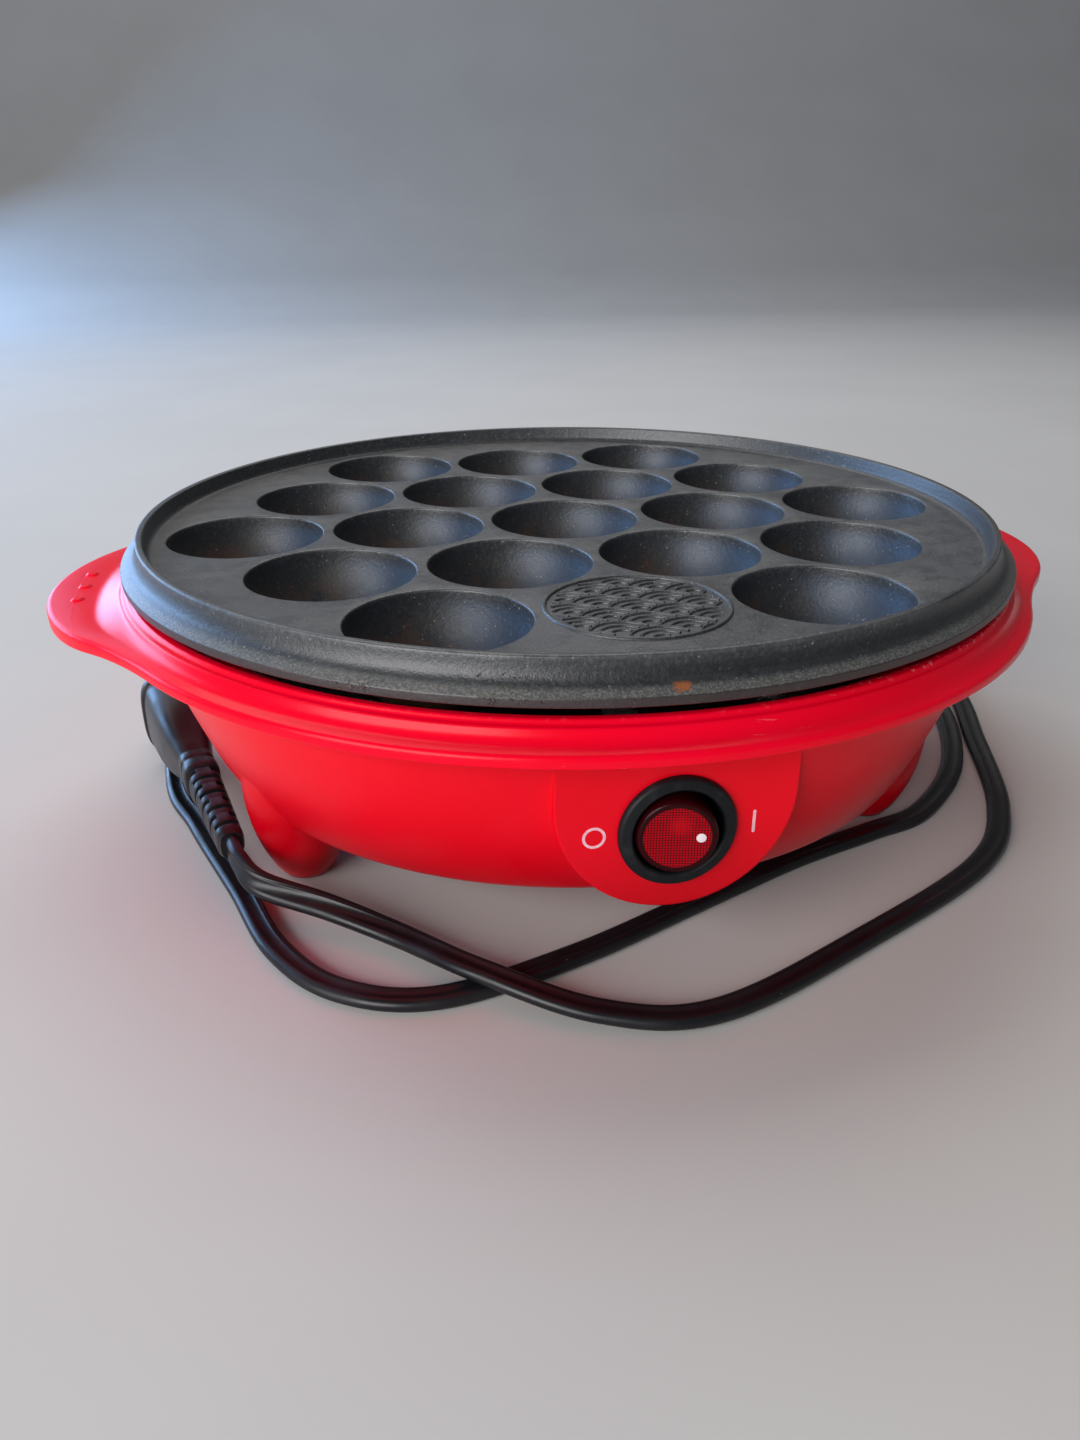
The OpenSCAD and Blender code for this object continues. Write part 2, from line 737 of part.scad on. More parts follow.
module reflector_pan() {
  color([0.75, 0.75, 0.76])
  difference() {
    rotate_extrude() polygon([
      [0, pan_z],
      [pan_floor_r, pan_z],
      [cup_reach_r + 0.8, pan_shelf_z],
      [pan_lip_in_r, pan_lip_z],
      [pan_r, pan_lip_z],
      [pan_r, pan_lip_z + pan_t],
      [pan_lip_in_r - 0.3, pan_lip_z + pan_t],
      [cup_reach_r + 0.2, pan_shelf_z + pan_t],
      [pan_floor_r - 0.6, pan_top_z],
      [0, pan_top_z]
    ]);
    at_heater_ends() translate([0, 0, pan_z - cut])
      cylinder(r = heater_r + 1.3, h = pan_t + 2 * cut);
    at_pan_screws() translate([0, 0, pan_z - cut])
      cylinder(r = screw_r + 0.2, h = pan_t + 2 * cut);
    translate([0, 0, pan_z - cut]) cylinder(r = stat_r - 1.5, h = pan_t + 2 * cut);
  }
}

module pan_screws() {
  color([0.7, 0.7, 0.72])
  at_pan_screws() {
    translate([0, 0, pan_top_z - 9]) cylinder(r = screw_r - 0.05, h = 9);
    translate([0, 0, pan_top_z]) cylinder(r = screw_head_r, h = screw_head_h);
  }
}

module plate_posts() {
  color([0.72, 0.72, 0.74])
  at_feet() translate([0, 0, pan_top_z]) {
    cylinder(r = post_r, h = post_h);
    cylinder(r = post_r + 1.5, h = 0.8);
  }
}

module heating_element() {
  color([0.3, 0.3, 0.31]) {
    translate([0, 0, heater_z]) rotate_extrude(angle = 360 - 2 * heater_open, start = 90 + heater_open)
      translate([heater_ring_r, 0]) circle(heater_r, $fn = 48);
    at_heater_ends() translate([0, -elbow_r, heater_z - elbow_r]) {
      rotate([90, 0, 90]) rotate_extrude(angle = 90)
        translate([elbow_r, 0]) circle(heater_r, $fn = 48);
      translate([0, elbow_r, pan_z - 4 - heater_z + elbow_r])
        cylinder(r = heater_r, h = heater_z - elbow_r - pan_z + 4, $fn = 48);
      translate([0, elbow_r, pan_z - 14 - heater_z + elbow_r])
        cylinder(r = 1.3, h = 11, $fn = 48);
    }
  }
}

// Ceramic bushes in the reflector and beads on the element's cold ends
module heater_seals() {
  color([0.92, 0.9, 0.85])
  at_heater_ends() {
    difference() {
      union() {
        translate([0, 0, pan_z - 2]) cylinder(r = heater_r + 1.25, h = 2 + pan_t);
        translate([0, 0, pan_z - 2]) cylinder(r = heater_r + 2.6, h = 2);
      }
      translate([0, 0, pan_z - 3]) cylinder(r = heater_r + 0.05, h = 6);
    }
    difference() {
      translate([0, 0, pan_z - 7]) cylinder(r = heater_r, h = 3);
      translate([0, 0, pan_z - 8]) cylinder(r = 1.35, h = 5);
    }
  }
}

// Three straps that hold the element on the reflector
module heater_clips() {
  color([0.68, 0.68, 0.7])
  for (a = [210, 270, 330]) rotate(a) translate([heater_ring_r, 4, 0]) rotate([90, 0, 0])
    linear_extrude(8) difference() {
      union() {
        translate([0, heater_z]) circle(heater_r + 1.1);
        translate([-heater_r - 1.1, pan_top_z]) square([2 * heater_r + 2.2, heater_z - pan_top_z]);
        translate([-heater_r - 5, pan_top_z]) square([2 * heater_r + 10, 0.8]);
      }
      translate([0, heater_z]) circle(heater_r + gap);
      translate([-heater_r - gap, pan_top_z - cut])
        square([2 * (heater_r + gap), heater_z - pan_top_z + cut]);
    }
}

// ---- Thermostat and thermal fuse ----

stat_blade_z = pan_z - 4;

module thermostat_cap() {
  color([0.78, 0.78, 0.8])
  rotate_extrude() polygon([
    [0, pan_top_z],
    [stat_r, pan_top_z],
    [stat_r, pan_top_z + 1.2],
    [stat_r - 0.8, pan_top_z + 1.2],
    [stat_r - 0.8, pan_top_z + stat_h - 0.8],
    [stat_r - 1.6, pan_top_z + stat_h],
    [0, pan_top_z + stat_h]
  ]);
}

module thermostat_base() {
  color([0.25, 0.2, 0.17])
  difference() {
    translate([0, 0, pan_z - 7]) cylinder(r = stat_r - 1.6, h = 7 + pan_t);
    for (side = [-1, 1]) translate([side * 8 - 5, -2.6, stat_blade_z - blade_t / 2])
      cube([10, 5.2, blade_t]);
  }
}

module thermostat_blades() {
  color([0.8, 0.65, 0.35])
  for (side = [0, 1]) mirror([side, 0, 0])
    translate([3, -2.6, stat_blade_z - blade_t / 2]) cube([11, 5.2, blade_t]);
}

fuse_x = 16;
fuse_z = pan_z - 3.2;
fuse_from_y = -26;
fuse_to_y = -14;

module thermal_fuse() {
  color([0.85, 0.85, 0.8])
  translate([fuse_x, fuse_to_y, fuse_z]) rotate([90, 0, 0])
    cylinder(r = 2.2, h = fuse_to_y - fuse_from_y);
}

module fuse_strap() {
  color([0.68, 0.68, 0.7])
  translate([fuse_x, (fuse_from_y + fuse_to_y) / 2 + 3, 0]) rotate([90, 0, 0])
    linear_extrude(6) difference() {
      union() {
        translate([0, fuse_z]) circle(3);
        translate([-3, fuse_z]) square([6, pan_z - fuse_z]);
        translate([-6, pan_z - 0.8]) square([12, 0.8]);
      }
      translate([0, fuse_z]) circle(2.25);
    }
}

// ---- Rocker switch ----

bore_back_y = -panel_y + 7.4;
cave_back_y = -panel_y + 15;

module switch_housing() {
  color([0.06, 0.06, 0.06])
  difference() {
    union() {
      translate([0, -panel_y, switch_z]) rotate([90, 0, 0]) rotate_extrude() polygon([
        [0, 0],
        [bezel_r, 0],
        [bezel_r, bezel_h * 0.45],
        [bezel_r - 0.5, bezel_h * 0.85],
        [bezel_r - 1.1, bezel_h],
        [0, bezel_h]
      ]);
      translate([0, -panel_y, switch_z]) rotate([-90, 0, 0]) cylinder(r = barrel_r, h = barrel_l);
    }
    translate([0, bore_back_y, switch_z]) rotate([90, 0, 0])
      cylinder(r = bezel_bore_r, h = bore_back_y + panel_y + bezel_h + cut);
    translate([-6.8, bore_back_y - cut, switch_z - 3.6])
      cube([13.6, cave_back_y - bore_back_y + cut, 7.2]);
    translate([0, hinge_y, switch_z - barrel_r - cut])
      cylinder(r = hinge_r + pin_play, h = 2 * (barrel_r + cut));
    for (x = [-terminal_pitch, 0, terminal_pitch])
      translate([x - blade_t / 2, cave_back_y - cut, switch_z - blade_w / 2])
        cube([blade_t, barrel_l, blade_w]);
  }
}

// Round flat-faced rocker, drawn upright and turned to its rest, with its left side pressed in
module rocker() {
  color([0.45, 0.03, 0.04, 0.9])
  translate([0, hinge_y, switch_z]) rotate(-rocker_tilt) {
    difference() {
      rotate([90, 0, 0]) rotate_extrude() polygon([
        [0, -rocker_back],
        [rocker_r, -rocker_back],
        [rocker_r, rocker_face - 0.6],
        [rocker_r - 0.5, rocker_face],
        [0, rocker_face]
      ]);
      translate([-3, 0, -3]) cube([6, rocker_back + cut, 6]);
    }
    translate([0, 0, -barrel_r + 0.2]) cylinder(r = hinge_r, h = 2 * (barrel_r - 0.2));
    rotate([-90, 0, 0]) cylinder(r = 1, h = stem_l, $fn = 48);
  }
}

// See-saw contact with a pivot roll behind it, pushed over by the rocker's stem
module contact_lever() {
  color([0.8, 0.55, 0.3])
  translate([0, lever_y, switch_z]) rotate(lever_ratio * rocker_tilt) {
    translate([-5.6, -1.2, -2]) cube([11.2, 0.8, 4]);
    translate([0, 0, -2]) cylinder(r = pivot_r, h = 4);
    for (side = [-1, 1]) translate([side * 4.8, -0.4, 0]) rotate([-90, 0, 0])
      cylinder(r = 1, h = 0.6, $fn = 48);
  }
}

module switch_terminals() {
  color([0.82, 0.68, 0.36])
  for (x = [-terminal_pitch, 0, terminal_pitch])
    let (y = x == 0 ? lever_y + pivot_r + gap : cave_back_y - 0.6)
    translate([x - blade_t / 2, y, switch_z - blade_w / 2])
      cube([blade_t, terminal_end_y - y, blade_w]);
}

// ---- Leads inside the body ----

// Push-on sleeve over a blade that points along +Y and ends at the origin
module push_on(w) {
  difference() {
    translate([-1.6, -6, -w / 2 - 0.8]) cube([3.2, 9, w + 1.6]);
    translate([-blade_t / 2 - 0.05, -6 - cut, -w / 2 - 0.05]) cube([blade_t + 0.1, 6 + cut, w + 0.1]);
  }
}

// Eye round a cold end of the heating element
module eye() {
  difference() {
    translate([0, 0, pan_z - 13]) cylinder(r = 2.9, h = 1.8);
    translate([0, 0, pan_z - 14]) cylinder(r = 1.35, h = 4);
  }
}

heater_end = [
  heater_ring_r * cos(90 - heater_open) - elbow_r * sin(90 - heater_open),
  heater_ring_r * sin(90 - heater_open) + elbow_r * cos(90 - heater_open)
];
eye_z = pan_z - 12.1;

module line_lead() {
  color([0.15, 0.15, 0.16]) {
    sweep([
      [-cap_x, cap_y - cap_l / 2 - play, cap_z],
      [-cap_x, cap_y - cap_l / 2 - 4, cap_z],
      [-29, 38, floor_z + 2],
      [-38, 14, floor_z + 2],
      [-38, -20, floor_z + 2],
      [-26, -46, floor_z + 4],
      [-11, -60, switch_z - 8],
      [-terminal_pitch, -66, switch_z - 1],
      [-terminal_pitch, terminal_end_y + 2.5, switch_z]
    ], round_outline(lead_r), 24, 99, 0);
    translate([-terminal_pitch, terminal_end_y, switch_z]) push_on(blade_w);
  }
}

module switch_lead() {
  color([0.15, 0.15, 0.16]) {
    sweep([
      [0, terminal_end_y + 2.5, switch_z],
      [1, -67, switch_z - 1],
      [6, -56, switch_z - 6],
      [13, -44, fuse_z - 5],
      [fuse_x, -33, fuse_z - 0.6],
      [fuse_x, fuse_from_y - 3, fuse_z],
      [fuse_x, fuse_from_y - play, fuse_z]
    ], round_outline(lead_r), 18, 99, 0);
    translate([0, terminal_end_y, switch_z]) push_on(blade_w);
  }
}

module fuse_lead() {
  color([0.85, 0.85, 0.8]) {
    sweep([
      [fuse_x, fuse_to_y + play, fuse_z],
      [fuse_x, fuse_to_y + 2.5, fuse_z],
      [fuse_x + 4.5, -7.5, fuse_z - 1.4],
      [fuse_x + 6, -1.5, stat_blade_z - 1],
      [16.5, 0, stat_blade_z]
    ], round_outline(lead_r), 15, 99, 0);
    translate([14, 0, stat_blade_z]) rotate(-90) rotate([0, 90, 0]) push_on(5.2);
  }
}

module heater_lead() {
  color([0.85, 0.85, 0.8]) {
    sweep([
      [-16.5, 0, stat_blade_z],
      [-21, 4, stat_blade_z - 2],
      [-22, 16, stat_blade_z - 5],
      [-19, 30, eye_z + 1],
      [-14, 42, eye_z],
      [-heater_end[0] - 0.6, heater_end[1] - 2.4, eye_z]
    ], round_outline(lead_r), 15, 99, 0);
    translate([-14, 0, stat_blade_z]) rotate(90) rotate([0, 90, 0]) push_on(5.2);
    translate([-heater_end[0], heater_end[1], 0]) eye();
  }
}

module neutral_lead() {
  color([0.85, 0.85, 0.8]) {
    sweep([
      [cap_x, cap_y - cap_l / 2 - play, cap_z],
      [cap_x, cap_y - cap_l / 2 - 3, cap_z],
      [21, 45, cap_z],
      [18, 38, cap_z + 2],
      [13, 40, eye_z - 1],
      [heater_end[0] + 0.6, heater_end[1] - 2.4, eye_z]
    ], round_outline(lead_r), 15, 99, 0);
    translate([heater_end[0], heater_end[1], 0]) eye();
  }
}

// Closed crimp caps that join each core of the cord to its lead
module lead_caps() {
  color([0.9, 0.9, 0.86])
  for (side = [-1, 1]) translate([side * cap_x, cap_y + cap_l / 2, cap_z]) rotate([90, 0, 0])
    cylinder(r = 2.6, h = cap_l, $fn = 48);
}

// ---- Cord, clamp and bushing ----

module cord_tail() {
  color([0.08, 0.08, 0.09]) {
    along_y(split_y, exit_in_y - 2) translate([0, exit_z]) {
      for (side = [-1, 1]) translate([side * (cord_w / 2 - core_r), 0]) circle(core_r, $fn = 48);
      translate([core_r - cord_w / 2, -core_r * 0.62])
        square([cord_w - 2 * core_r, core_r * 1.24]);
    }
    for (side = [-1, 1])
      sweep([
        [side * (cord_w / 2 - core_r), split_y + 0.5, exit_z],
        [side * (cord_w / 2 - core_r + 0.5), split_y - 3, exit_z - 0.4],
        [side * (cord_w / 2 + 4), split_y - 6, exit_z - 1.6],
        [side * (cap_x - 3), cap_y + 11, cap_z + 1],
        [side * cap_x, cap_y + 8, cap_z],
        [side * cap_x, cap_y + cap_l / 2 + play, cap_z]
      ], round_outline(core_r - 0.1), 15, 99, 0);
  }
}

module cord_clamp() {
  color([0.9, 0.9, 0.88])
  difference() {
    translate([-clamp_w / 2, clamp_y - 3.2, exit_z - cord_t / 2]) cube([clamp_w, 6.4, cord_t + 2]);
    translate([-cord_w / 2 - 0.1, clamp_y - 4, exit_z - cord_t / 2 - cut])
      cube([cord_w + 0.2, 8, cord_t + cut]);
    for (side = [-1, 1]) translate([side * clamp_screw_x, clamp_y, exit_z - 3])
      cylinder(r = 1.5, h = 10);
  }
}

module clamp_screws() {
  color([0.7, 0.7, 0.72])
  for (side = [-1, 1]) translate([side * clamp_screw_x, clamp_y, 0]) {
    translate([0, 0, floor_z]) cylinder(r = 1.15, h = exit_z + cord_t / 2 + 2 - floor_z);
    translate([0, 0, exit_z + cord_t / 2 + 2]) cylinder(r = 2.5, h = 1.6);
  }
}

// Moulded bushing: collar inside the wall, waist in the wall, ribbed taper outside
module cord_bushing() {
  color([0.08, 0.08, 0.09])
  translate([0, exit_in_y - 2, exit_z]) rotate([-90, 0, 0]) rotate_extrude() polygon(concat(
    [[0, 0], [bushing_r + 1.6, 0], [bushing_r + 1.6, 2], [bushing_r, 2]],
    [[bushing_r, 2 + exit_y - exit_in_y], [bushing_r + 1.4, 2 + exit_y - exit_in_y]],
    [
      for (i = [0:5])
        let (y = 4.5 + exit_y - exit_in_y + i * (bushing_l - 4) / 6, r = bushing_r + 1.2 - i * 0.5)
        each [[r, y], [r - 1, y + 0.8], [r - 1, y + 2], [r - 0.2, y + 2.8]]
    ],
    [[3.6, 2 + exit_y - exit_in_y + bushing_l], [0, 2 + exit_y - exit_in_y + bushing_l]]
  ));
}

module power_cord() {
  color([0.08, 0.08, 0.09])
  sweep(cord_route, twin_outline(), 80, cord_roll_from, 90);
}

// ---- Plug ----

// Frame of the plug: +Y runs from the sleeve's end to the blades, +X is its narrow side
module at_plug() {
  translate(plug_place) rotate(plug_turn) rotate([plug_rise, 0, 0]) children();
}

// Rounded outline of a plug section, with half sizes a and b
function plug_outline(a, b, n) = [
  for (i = [0:n - 1])
    let (t = 360 * i / n, e = 0.62)
    [
      a * sign(cos(t)) * pow(abs(cos(t)), e),
      b * sign(sin(t)) * pow(abs(sin(t)), e)
    ]
];

// Solid through sections given as [place along Y, half width in X, half height in Z]
module plug_loft(sections, n) {
  rings = len(sections);
  points = [
    for (s = sections)
      for (o = plug_outline(s[1], s[2], n)) [o[0], s[0], o[1]]
  ];
  faces = concat(
    [[for (j = [n - 1:-1:0]) j]],
    [
      for (k = [0:rings - 2])
        for (j = [0:n - 1])
          let (a = k * n + j, b = k * n + (j + 1) % n)
          each [[a, b, b + n], [a, b + n, a + n]]
    ],
    [[for (j = [0:n - 1]) (rings - 1) * n + j]]
  );
  polyhedron(points, faces);
}

module plug_body() {
  l = plug_l;
  a = plug_t / 2;
  b = plug_w / 2;
  color([0.07, 0.07, 0.08])
  at_plug() translate([0, sleeve_l, 0]) plug_loft([
    [0, 3.9, 4.4],
    [0.8, 4.6, 5.2],
    [3.4, 4.6, 5.2],
    [4.2, 4.2, 4.8],
    [6, 4.3, 5],
    [l * 0.3, a * 0.66, b * 0.56],
    [l * 0.48, a * 0.8, b * 0.74],
    [l * 0.68, a * 0.89, b * 0.88],
    [l - 5, a * 0.94, b * 0.95],
    [l - 4.2, a * 0.88, b * 0.9],
    [l - 3, a * 0.88, b * 0.9],
    [l - 2.6, a, b],
    [l - 0.5, a, b],
    [l, a - 0.5, b - 0.5]
  ], 28);
}

module plug_sleeve() {
  color([0.07, 0.07, 0.08])
  at_plug() difference() {
    plug_loft([
      [0, 2.4, 3.4],
      [sleeve_l * 0.4, 2.9, 3.8],
      [sleeve_l, 3.6, 4.3]
    ], 24);
    for (i = [0:4]) translate([i % 2 == 0 ? 1.4 : -6.4, 3 + i * (sleeve_l - 6) / 5, -6])
      cube([5, 1.4, 12]);
  }
}

module plug_blades() {
  color([0.8, 0.8, 0.78])
  at_plug() for (side = [-1, 1])
    translate([-plug_blade_w / 2, sleeve_l + plug_l, side * plug_blade_pitch / 2 - plug_blade_t / 2])
      difference() {
        cube([plug_blade_w, plug_blade_l, plug_blade_t]);
        translate([plug_blade_w / 2, plug_blade_l - 4, -cut]) cylinder(r = 1.5, h = plug_blade_t + 2 * cut);
      }
}

grill_plate();
rim_ring();
rim_screws();
base_bowl();
foot_pads();
reflector_pan();
pan_screws();
plate_posts();
heating_element();
heater_seals();
heater_clips();
thermostat_cap();
thermostat_base();
thermostat_blades();
thermal_fuse();
fuse_strap();
switch_housing();
rocker();
contact_lever();
switch_terminals();
line_lead();
switch_lead();
fuse_lead();
heater_lead();
neutral_lead();
lead_caps();
cord_tail();
cord_clamp();
clamp_screws();
cord_bushing();
power_cord();
plug_body();
plug_sleeve();
plug_blades();
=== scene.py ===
import math

import bmesh
import bpy
from mathutils import Matrix, Vector


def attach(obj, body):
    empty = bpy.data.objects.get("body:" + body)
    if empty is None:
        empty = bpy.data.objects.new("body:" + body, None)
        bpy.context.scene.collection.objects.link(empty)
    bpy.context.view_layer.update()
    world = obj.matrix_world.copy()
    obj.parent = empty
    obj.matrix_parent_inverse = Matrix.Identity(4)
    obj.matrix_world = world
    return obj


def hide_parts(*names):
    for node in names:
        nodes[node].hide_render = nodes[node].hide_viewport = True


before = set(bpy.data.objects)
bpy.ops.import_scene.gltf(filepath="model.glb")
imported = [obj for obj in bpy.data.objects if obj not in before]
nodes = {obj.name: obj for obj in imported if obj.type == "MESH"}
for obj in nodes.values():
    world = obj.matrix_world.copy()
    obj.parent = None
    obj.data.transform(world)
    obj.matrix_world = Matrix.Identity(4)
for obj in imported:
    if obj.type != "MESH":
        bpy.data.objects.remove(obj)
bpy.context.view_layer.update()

# ---- Camera ----
# Solved from the grid of cups, the plate's circles and the ears of the real maker.
az, el, roll = math.radians(-10.869), math.radians(25.526), math.radians(-0.31)
back = Vector((math.sin(az) * math.cos(el), -math.cos(az) * math.cos(el), math.sin(el)))
level = Vector((math.cos(az), math.sin(az), 0))
upright = back.cross(level)
right = level * math.cos(roll) + upright * math.sin(roll)
up = upright * math.cos(roll) - level * math.sin(roll)
lens = bpy.data.cameras.new("camera")
lens.lens = 26.87
lens.sensor_width = 36
lens.sensor_fit = "AUTO"
lens.clip_start = 0.01
camera = bpy.data.objects.new("camera", lens)
turn = Matrix((right, up, back)).transposed().to_4x4()
camera.matrix_world = Matrix.Translation((-0.0588, -0.2707, 0.1456)) @ turn
bpy.context.collection.objects.link(camera)
bpy.context.scene.camera = camera

# ---- Power cord ----
# Flat twin mains cord, 6 x 3 mm, of black PVC. It leaves the rear bushing, lies once round the maker
# and again in a wider loop, crosses itself in front and climbs on its edge into the plug.
LIE = 0.00155
CORD = [
    (0, 0.12978, 0.027), (0, 0.13768, 0.0265), (0.002, 0.154, 0.021), (0.010, 0.168, 0.008),
    (0.036, 0.175, LIE + 0.0007), (0.072, 0.158, LIE), (0.101, 0.126, LIE), (0.126, 0.042, LIE),
    (0.124, 0.009, LIE), (0.108, -0.026, LIE), (0.086, -0.049, LIE), (0.068, -0.056, LIE),
    (0.044, -0.064, LIE), (0.014, -0.077, LIE), (-0.016, -0.090, LIE), (-0.046, -0.098, LIE),
    (-0.066, -0.092, LIE), (-0.079, -0.076, LIE), (-0.088, -0.051, LIE), (-0.100, -0.019, LIE),
    (-0.109, 0.010, LIE), (-0.113, 0.082, LIE), (-0.090, 0.132, LIE), (0, 0.188, LIE),
    (0.054, 0.185, LIE), (0.135, 0.104, LIE), (0.140, 0.056, LIE), (0.1355, 0.020, LIE),
    (0.123, -0.013, LIE), (0.107, -0.051, LIE), (0.087, -0.075, LIE), (0.046, -0.097, LIE),
    (0.008, -0.113, LIE + 0.0003), (-0.016, -0.110, LIE + 0.0014), (-0.038, -0.096, LIE + 0.0039),
    (-0.053, -0.080, LIE + 0.003), (-0.0675, -0.0698, LIE + 0.0052), (-0.0822, -0.062, 0.0096),
    (-0.08707, -0.05472, 0.01171), (-0.08899, -0.04805, 0.012),
]


class Wire:
    """A shader value that can be added, multiplied and compared like a number."""

    def __init__(self, finish, socket):
        self.finish, self.socket = finish, socket

    def maths(self, operation, *values):
        return self.finish.node("Math", {"operation": operation}, dict(enumerate(values)))

    def __add__(self, other):
        return self.maths("ADD", self, other)

    def __sub__(self, other):
        return self.maths("SUBTRACT", self, other)

    def __rsub__(self, other):
        return self.maths("SUBTRACT", other, self)

    def __mul__(self, other):
        return self.maths("MULTIPLY", self, other)

    def __truediv__(self, other):
        return self.maths("DIVIDE", self, other)

    def __rtruediv__(self, other):
        return self.maths("DIVIDE", other, self)

    def __pow__(self, other):
        return self.maths("POWER", self, other)

    def __abs__(self):
        return self.maths("ABSOLUTE", self)

    __radd__, __rmul__ = __add__, __mul__

    def over(self, low, high):
        """0 below low, 1 above high, and eased in between. It falls instead where low is above high."""
        ramp = {"interpolation_type": "SMOOTHSTEP"}
        return self.finish.node("MapRange", ramp, {"Value": self, "From Min": low, "From Max": high})


class Finish:
    """A node material, put together one node at a time. Its constant values go on the surface shader."""

    def __init__(self, name, **surface):
        self.material = bpy.data.materials.new(name)
        self.material.use_nodes = True
        self.tree = self.material.node_tree
        self.shader = self.tree.nodes["Principled BSDF"]
        for key, value in surface.items():
            self.put(key.replace("_", " ").title().replace("Ior", "IOR"), value)

    def put(self, key, value):
        """Sets or links one of the surface shader's sockets."""
        self.fill(self.shader.inputs[key], value)

    def fill(self, socket, value):
        if isinstance(value, Wire):
            self.tree.links.new(value.socket, socket)
        elif isinstance(value, tuple) and len(value) == 3 and socket.type == "RGBA":
            socket.default_value = (*value, 1)
        else:
            socket.default_value = value

    def node(self, kind, settings=None, sockets=None, out=0):
        node = self.tree.nodes.new("ShaderNode" + kind)
        for key, value in (settings or {}).items():
            setattr(node, key, value)
        for key, value in (sockets or {}).items():
            self.fill(node.inputs[key], value)
        return Wire(self, node.outputs[out])

    def blend(self, factor, a, b):
        """Colour a where the factor is 0 and b where it is 1."""
        kind = {"data_type": "RGBA"}
        return self.node("Mix", kind, {0: factor, 6: a, 7: b}, 2)

    def spot(self, stretch=(1, 1, 1)):
        """The shaded point in millimetres, stretched by a factor along each axis."""
        place = self.node("TexCoord", out=3)
        scale = tuple(1000 * s for s in stretch)
        return self.node("VectorMath", {"operation": "MULTIPLY"}, {0: place, 1: scale})

    def noise(self, pitch, detail=2, stretch=(1, 1, 1), rough=0.5):
        """Soft noise from 0 to 1 whose lumps are about pitch millimetres wide."""
        sockets = {"Vector": self.spot(stretch), "Scale": 1 / pitch, "Detail": detail, "Roughness": rough}
        return self.node("TexNoise", None, sockets)

    def specks(self, pitch, radius, share, stretch=(1, 1, 1)):
        """Scattered round specks: 1 inside. One cell in so many holds one, as share says."""
        sockets = {"Vector": self.spot(stretch), "Scale": 1 / pitch}
        cells = {"feature": "F1"}
        distance = self.node("TexVoronoi", cells, sockets)
        colour = self.node("TexVoronoi", cells, sockets, 1)
        luck = self.node("SeparateXYZ", None, {0: colour})
        shown = luck.over(1 - share, 1 - share + 0.01)
        return distance.over(radius / pitch, radius / pitch * 0.6) * shown

    def bump(self, height, depth, strength=1.0, soften=0):
        """Bumps the surface by a height worth depth millimetres, and rounds its edges by a radius."""
        sockets = {"Height": height, "Distance": depth / 1000, "Strength": strength}
        if soften:
            sockets["Normal"] = self.node("Bevel", {"samples": 8}, {"Radius": soften * 0.001})
        self.put("Normal", self.node("Bump", None, sockets))


class Shape:
    """The mesh of one piece, built up from rows of points in millimetres."""

    def __init__(self):
        self.bm = bmesh.new()

    def grid(self, rows, ring=True, loop=False, caps=False):
        """A skin over rows of points. ring closes each row, loop joins the last row to the first."""
        verts = [[self.bm.verts.new(Vector(p) / 1000) for p in row] for row in rows]
        for a, b in zip(verts, verts[1:] + verts[:1] if loop else verts[1:]):
            last = len(a) if ring else len(a) - 1
            for j in range(last):
                k = (j + 1) % len(a)
                self.bm.faces.new((a[j], a[k], b[k], b[j]))
        if caps:
            self.bm.faces.new(verts[0][::-1])
            self.bm.faces.new(verts[-1])

    def lathe(self, outline, place=Matrix(), steps=128):
        """A turned skin: the outline's (radius, height) points go round the Z axis of a place."""
        turns = [math.tau * i / steps for i in range(steps)]
        rows = [[place @ Vector((r * math.cos(t), r * math.sin(t), z)) for r, z in outline] for t in turns]
        self.grid(rows, ring=False, loop=True)

    def piece(self, name, body, finish, node=None, sharp=38):
        """Makes the object, gives it its material, ties it to its body and hides the CAD node it stands
        for.
        """
        bmesh.ops.remove_doubles(self.bm, verts=self.bm.verts, dist=2e-6)
        bmesh.ops.recalc_face_normals(self.bm, faces=self.bm.faces)
        mesh = bpy.data.meshes.new(name)
        self.bm.to_mesh(mesh)
        self.bm.free()
        mesh.polygons.foreach_set("use_smooth", [True] * len(mesh.polygons))
        mesh.set_sharp_from_angle(angle=math.radians(sharp))
        made = bpy.data.objects.new(name, mesh)
        bpy.context.collection.objects.link(made)
        mesh.materials.append(finish.material)
        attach(made, body)
        if node:
            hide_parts(node)
        return made


def along(route, u):
    """Point on a smooth curve through a route's points, at place u counted in points."""
    i = min(int(u), len(route) - 2)
    t = u - i
    a, b, c, d = (Vector(route[min(max(i + k, 0), len(route) - 1)]) for k in (-1, 0, 1, 2))
    bend = (2 * a - 5 * b + 4 * c - d) * t * t + (3 * b - a - 3 * c + d) * t ** 3
    return (2 * b + (c - a) * t + bend) / 2


def ease(t):
    t = min(max(t, 0), 1)
    return t * t * (3 - 2 * t)


def sweep(shape, centres, section, rolls=None, caps=True):
    """Sweeps a section's (side, up) points along centres, level except for a roll per centre."""
    rows = []
    for i, centre in enumerate(centres):
        ahead = centres[min(i + 1, len(centres) - 1)] - centres[max(i - 1, 0)]
        side = ahead.cross(Vector((0, 0, 1))).normalized()
        lift = side.cross(ahead).normalized()
        c, s = math.cos(rolls[i] if rolls else 0), math.sin(rolls[i] if rolls else 0)
        rows.append([centre + side * (x * c - z * s) + lift * (x * s + z * c) for x, z in section])
    shape.grid(rows, caps=caps)


steps = 560
last = len(CORD) - 1
line = [along(CORD, last * i / steps) for i in range(steps + 1)]
rolls = [math.pi / 2 * ease((last * i / steps - 34) / (last - 34)) for i in range(steps + 1)]
CORE_R, RIB, RIBS = 1.5, 0.09, 15


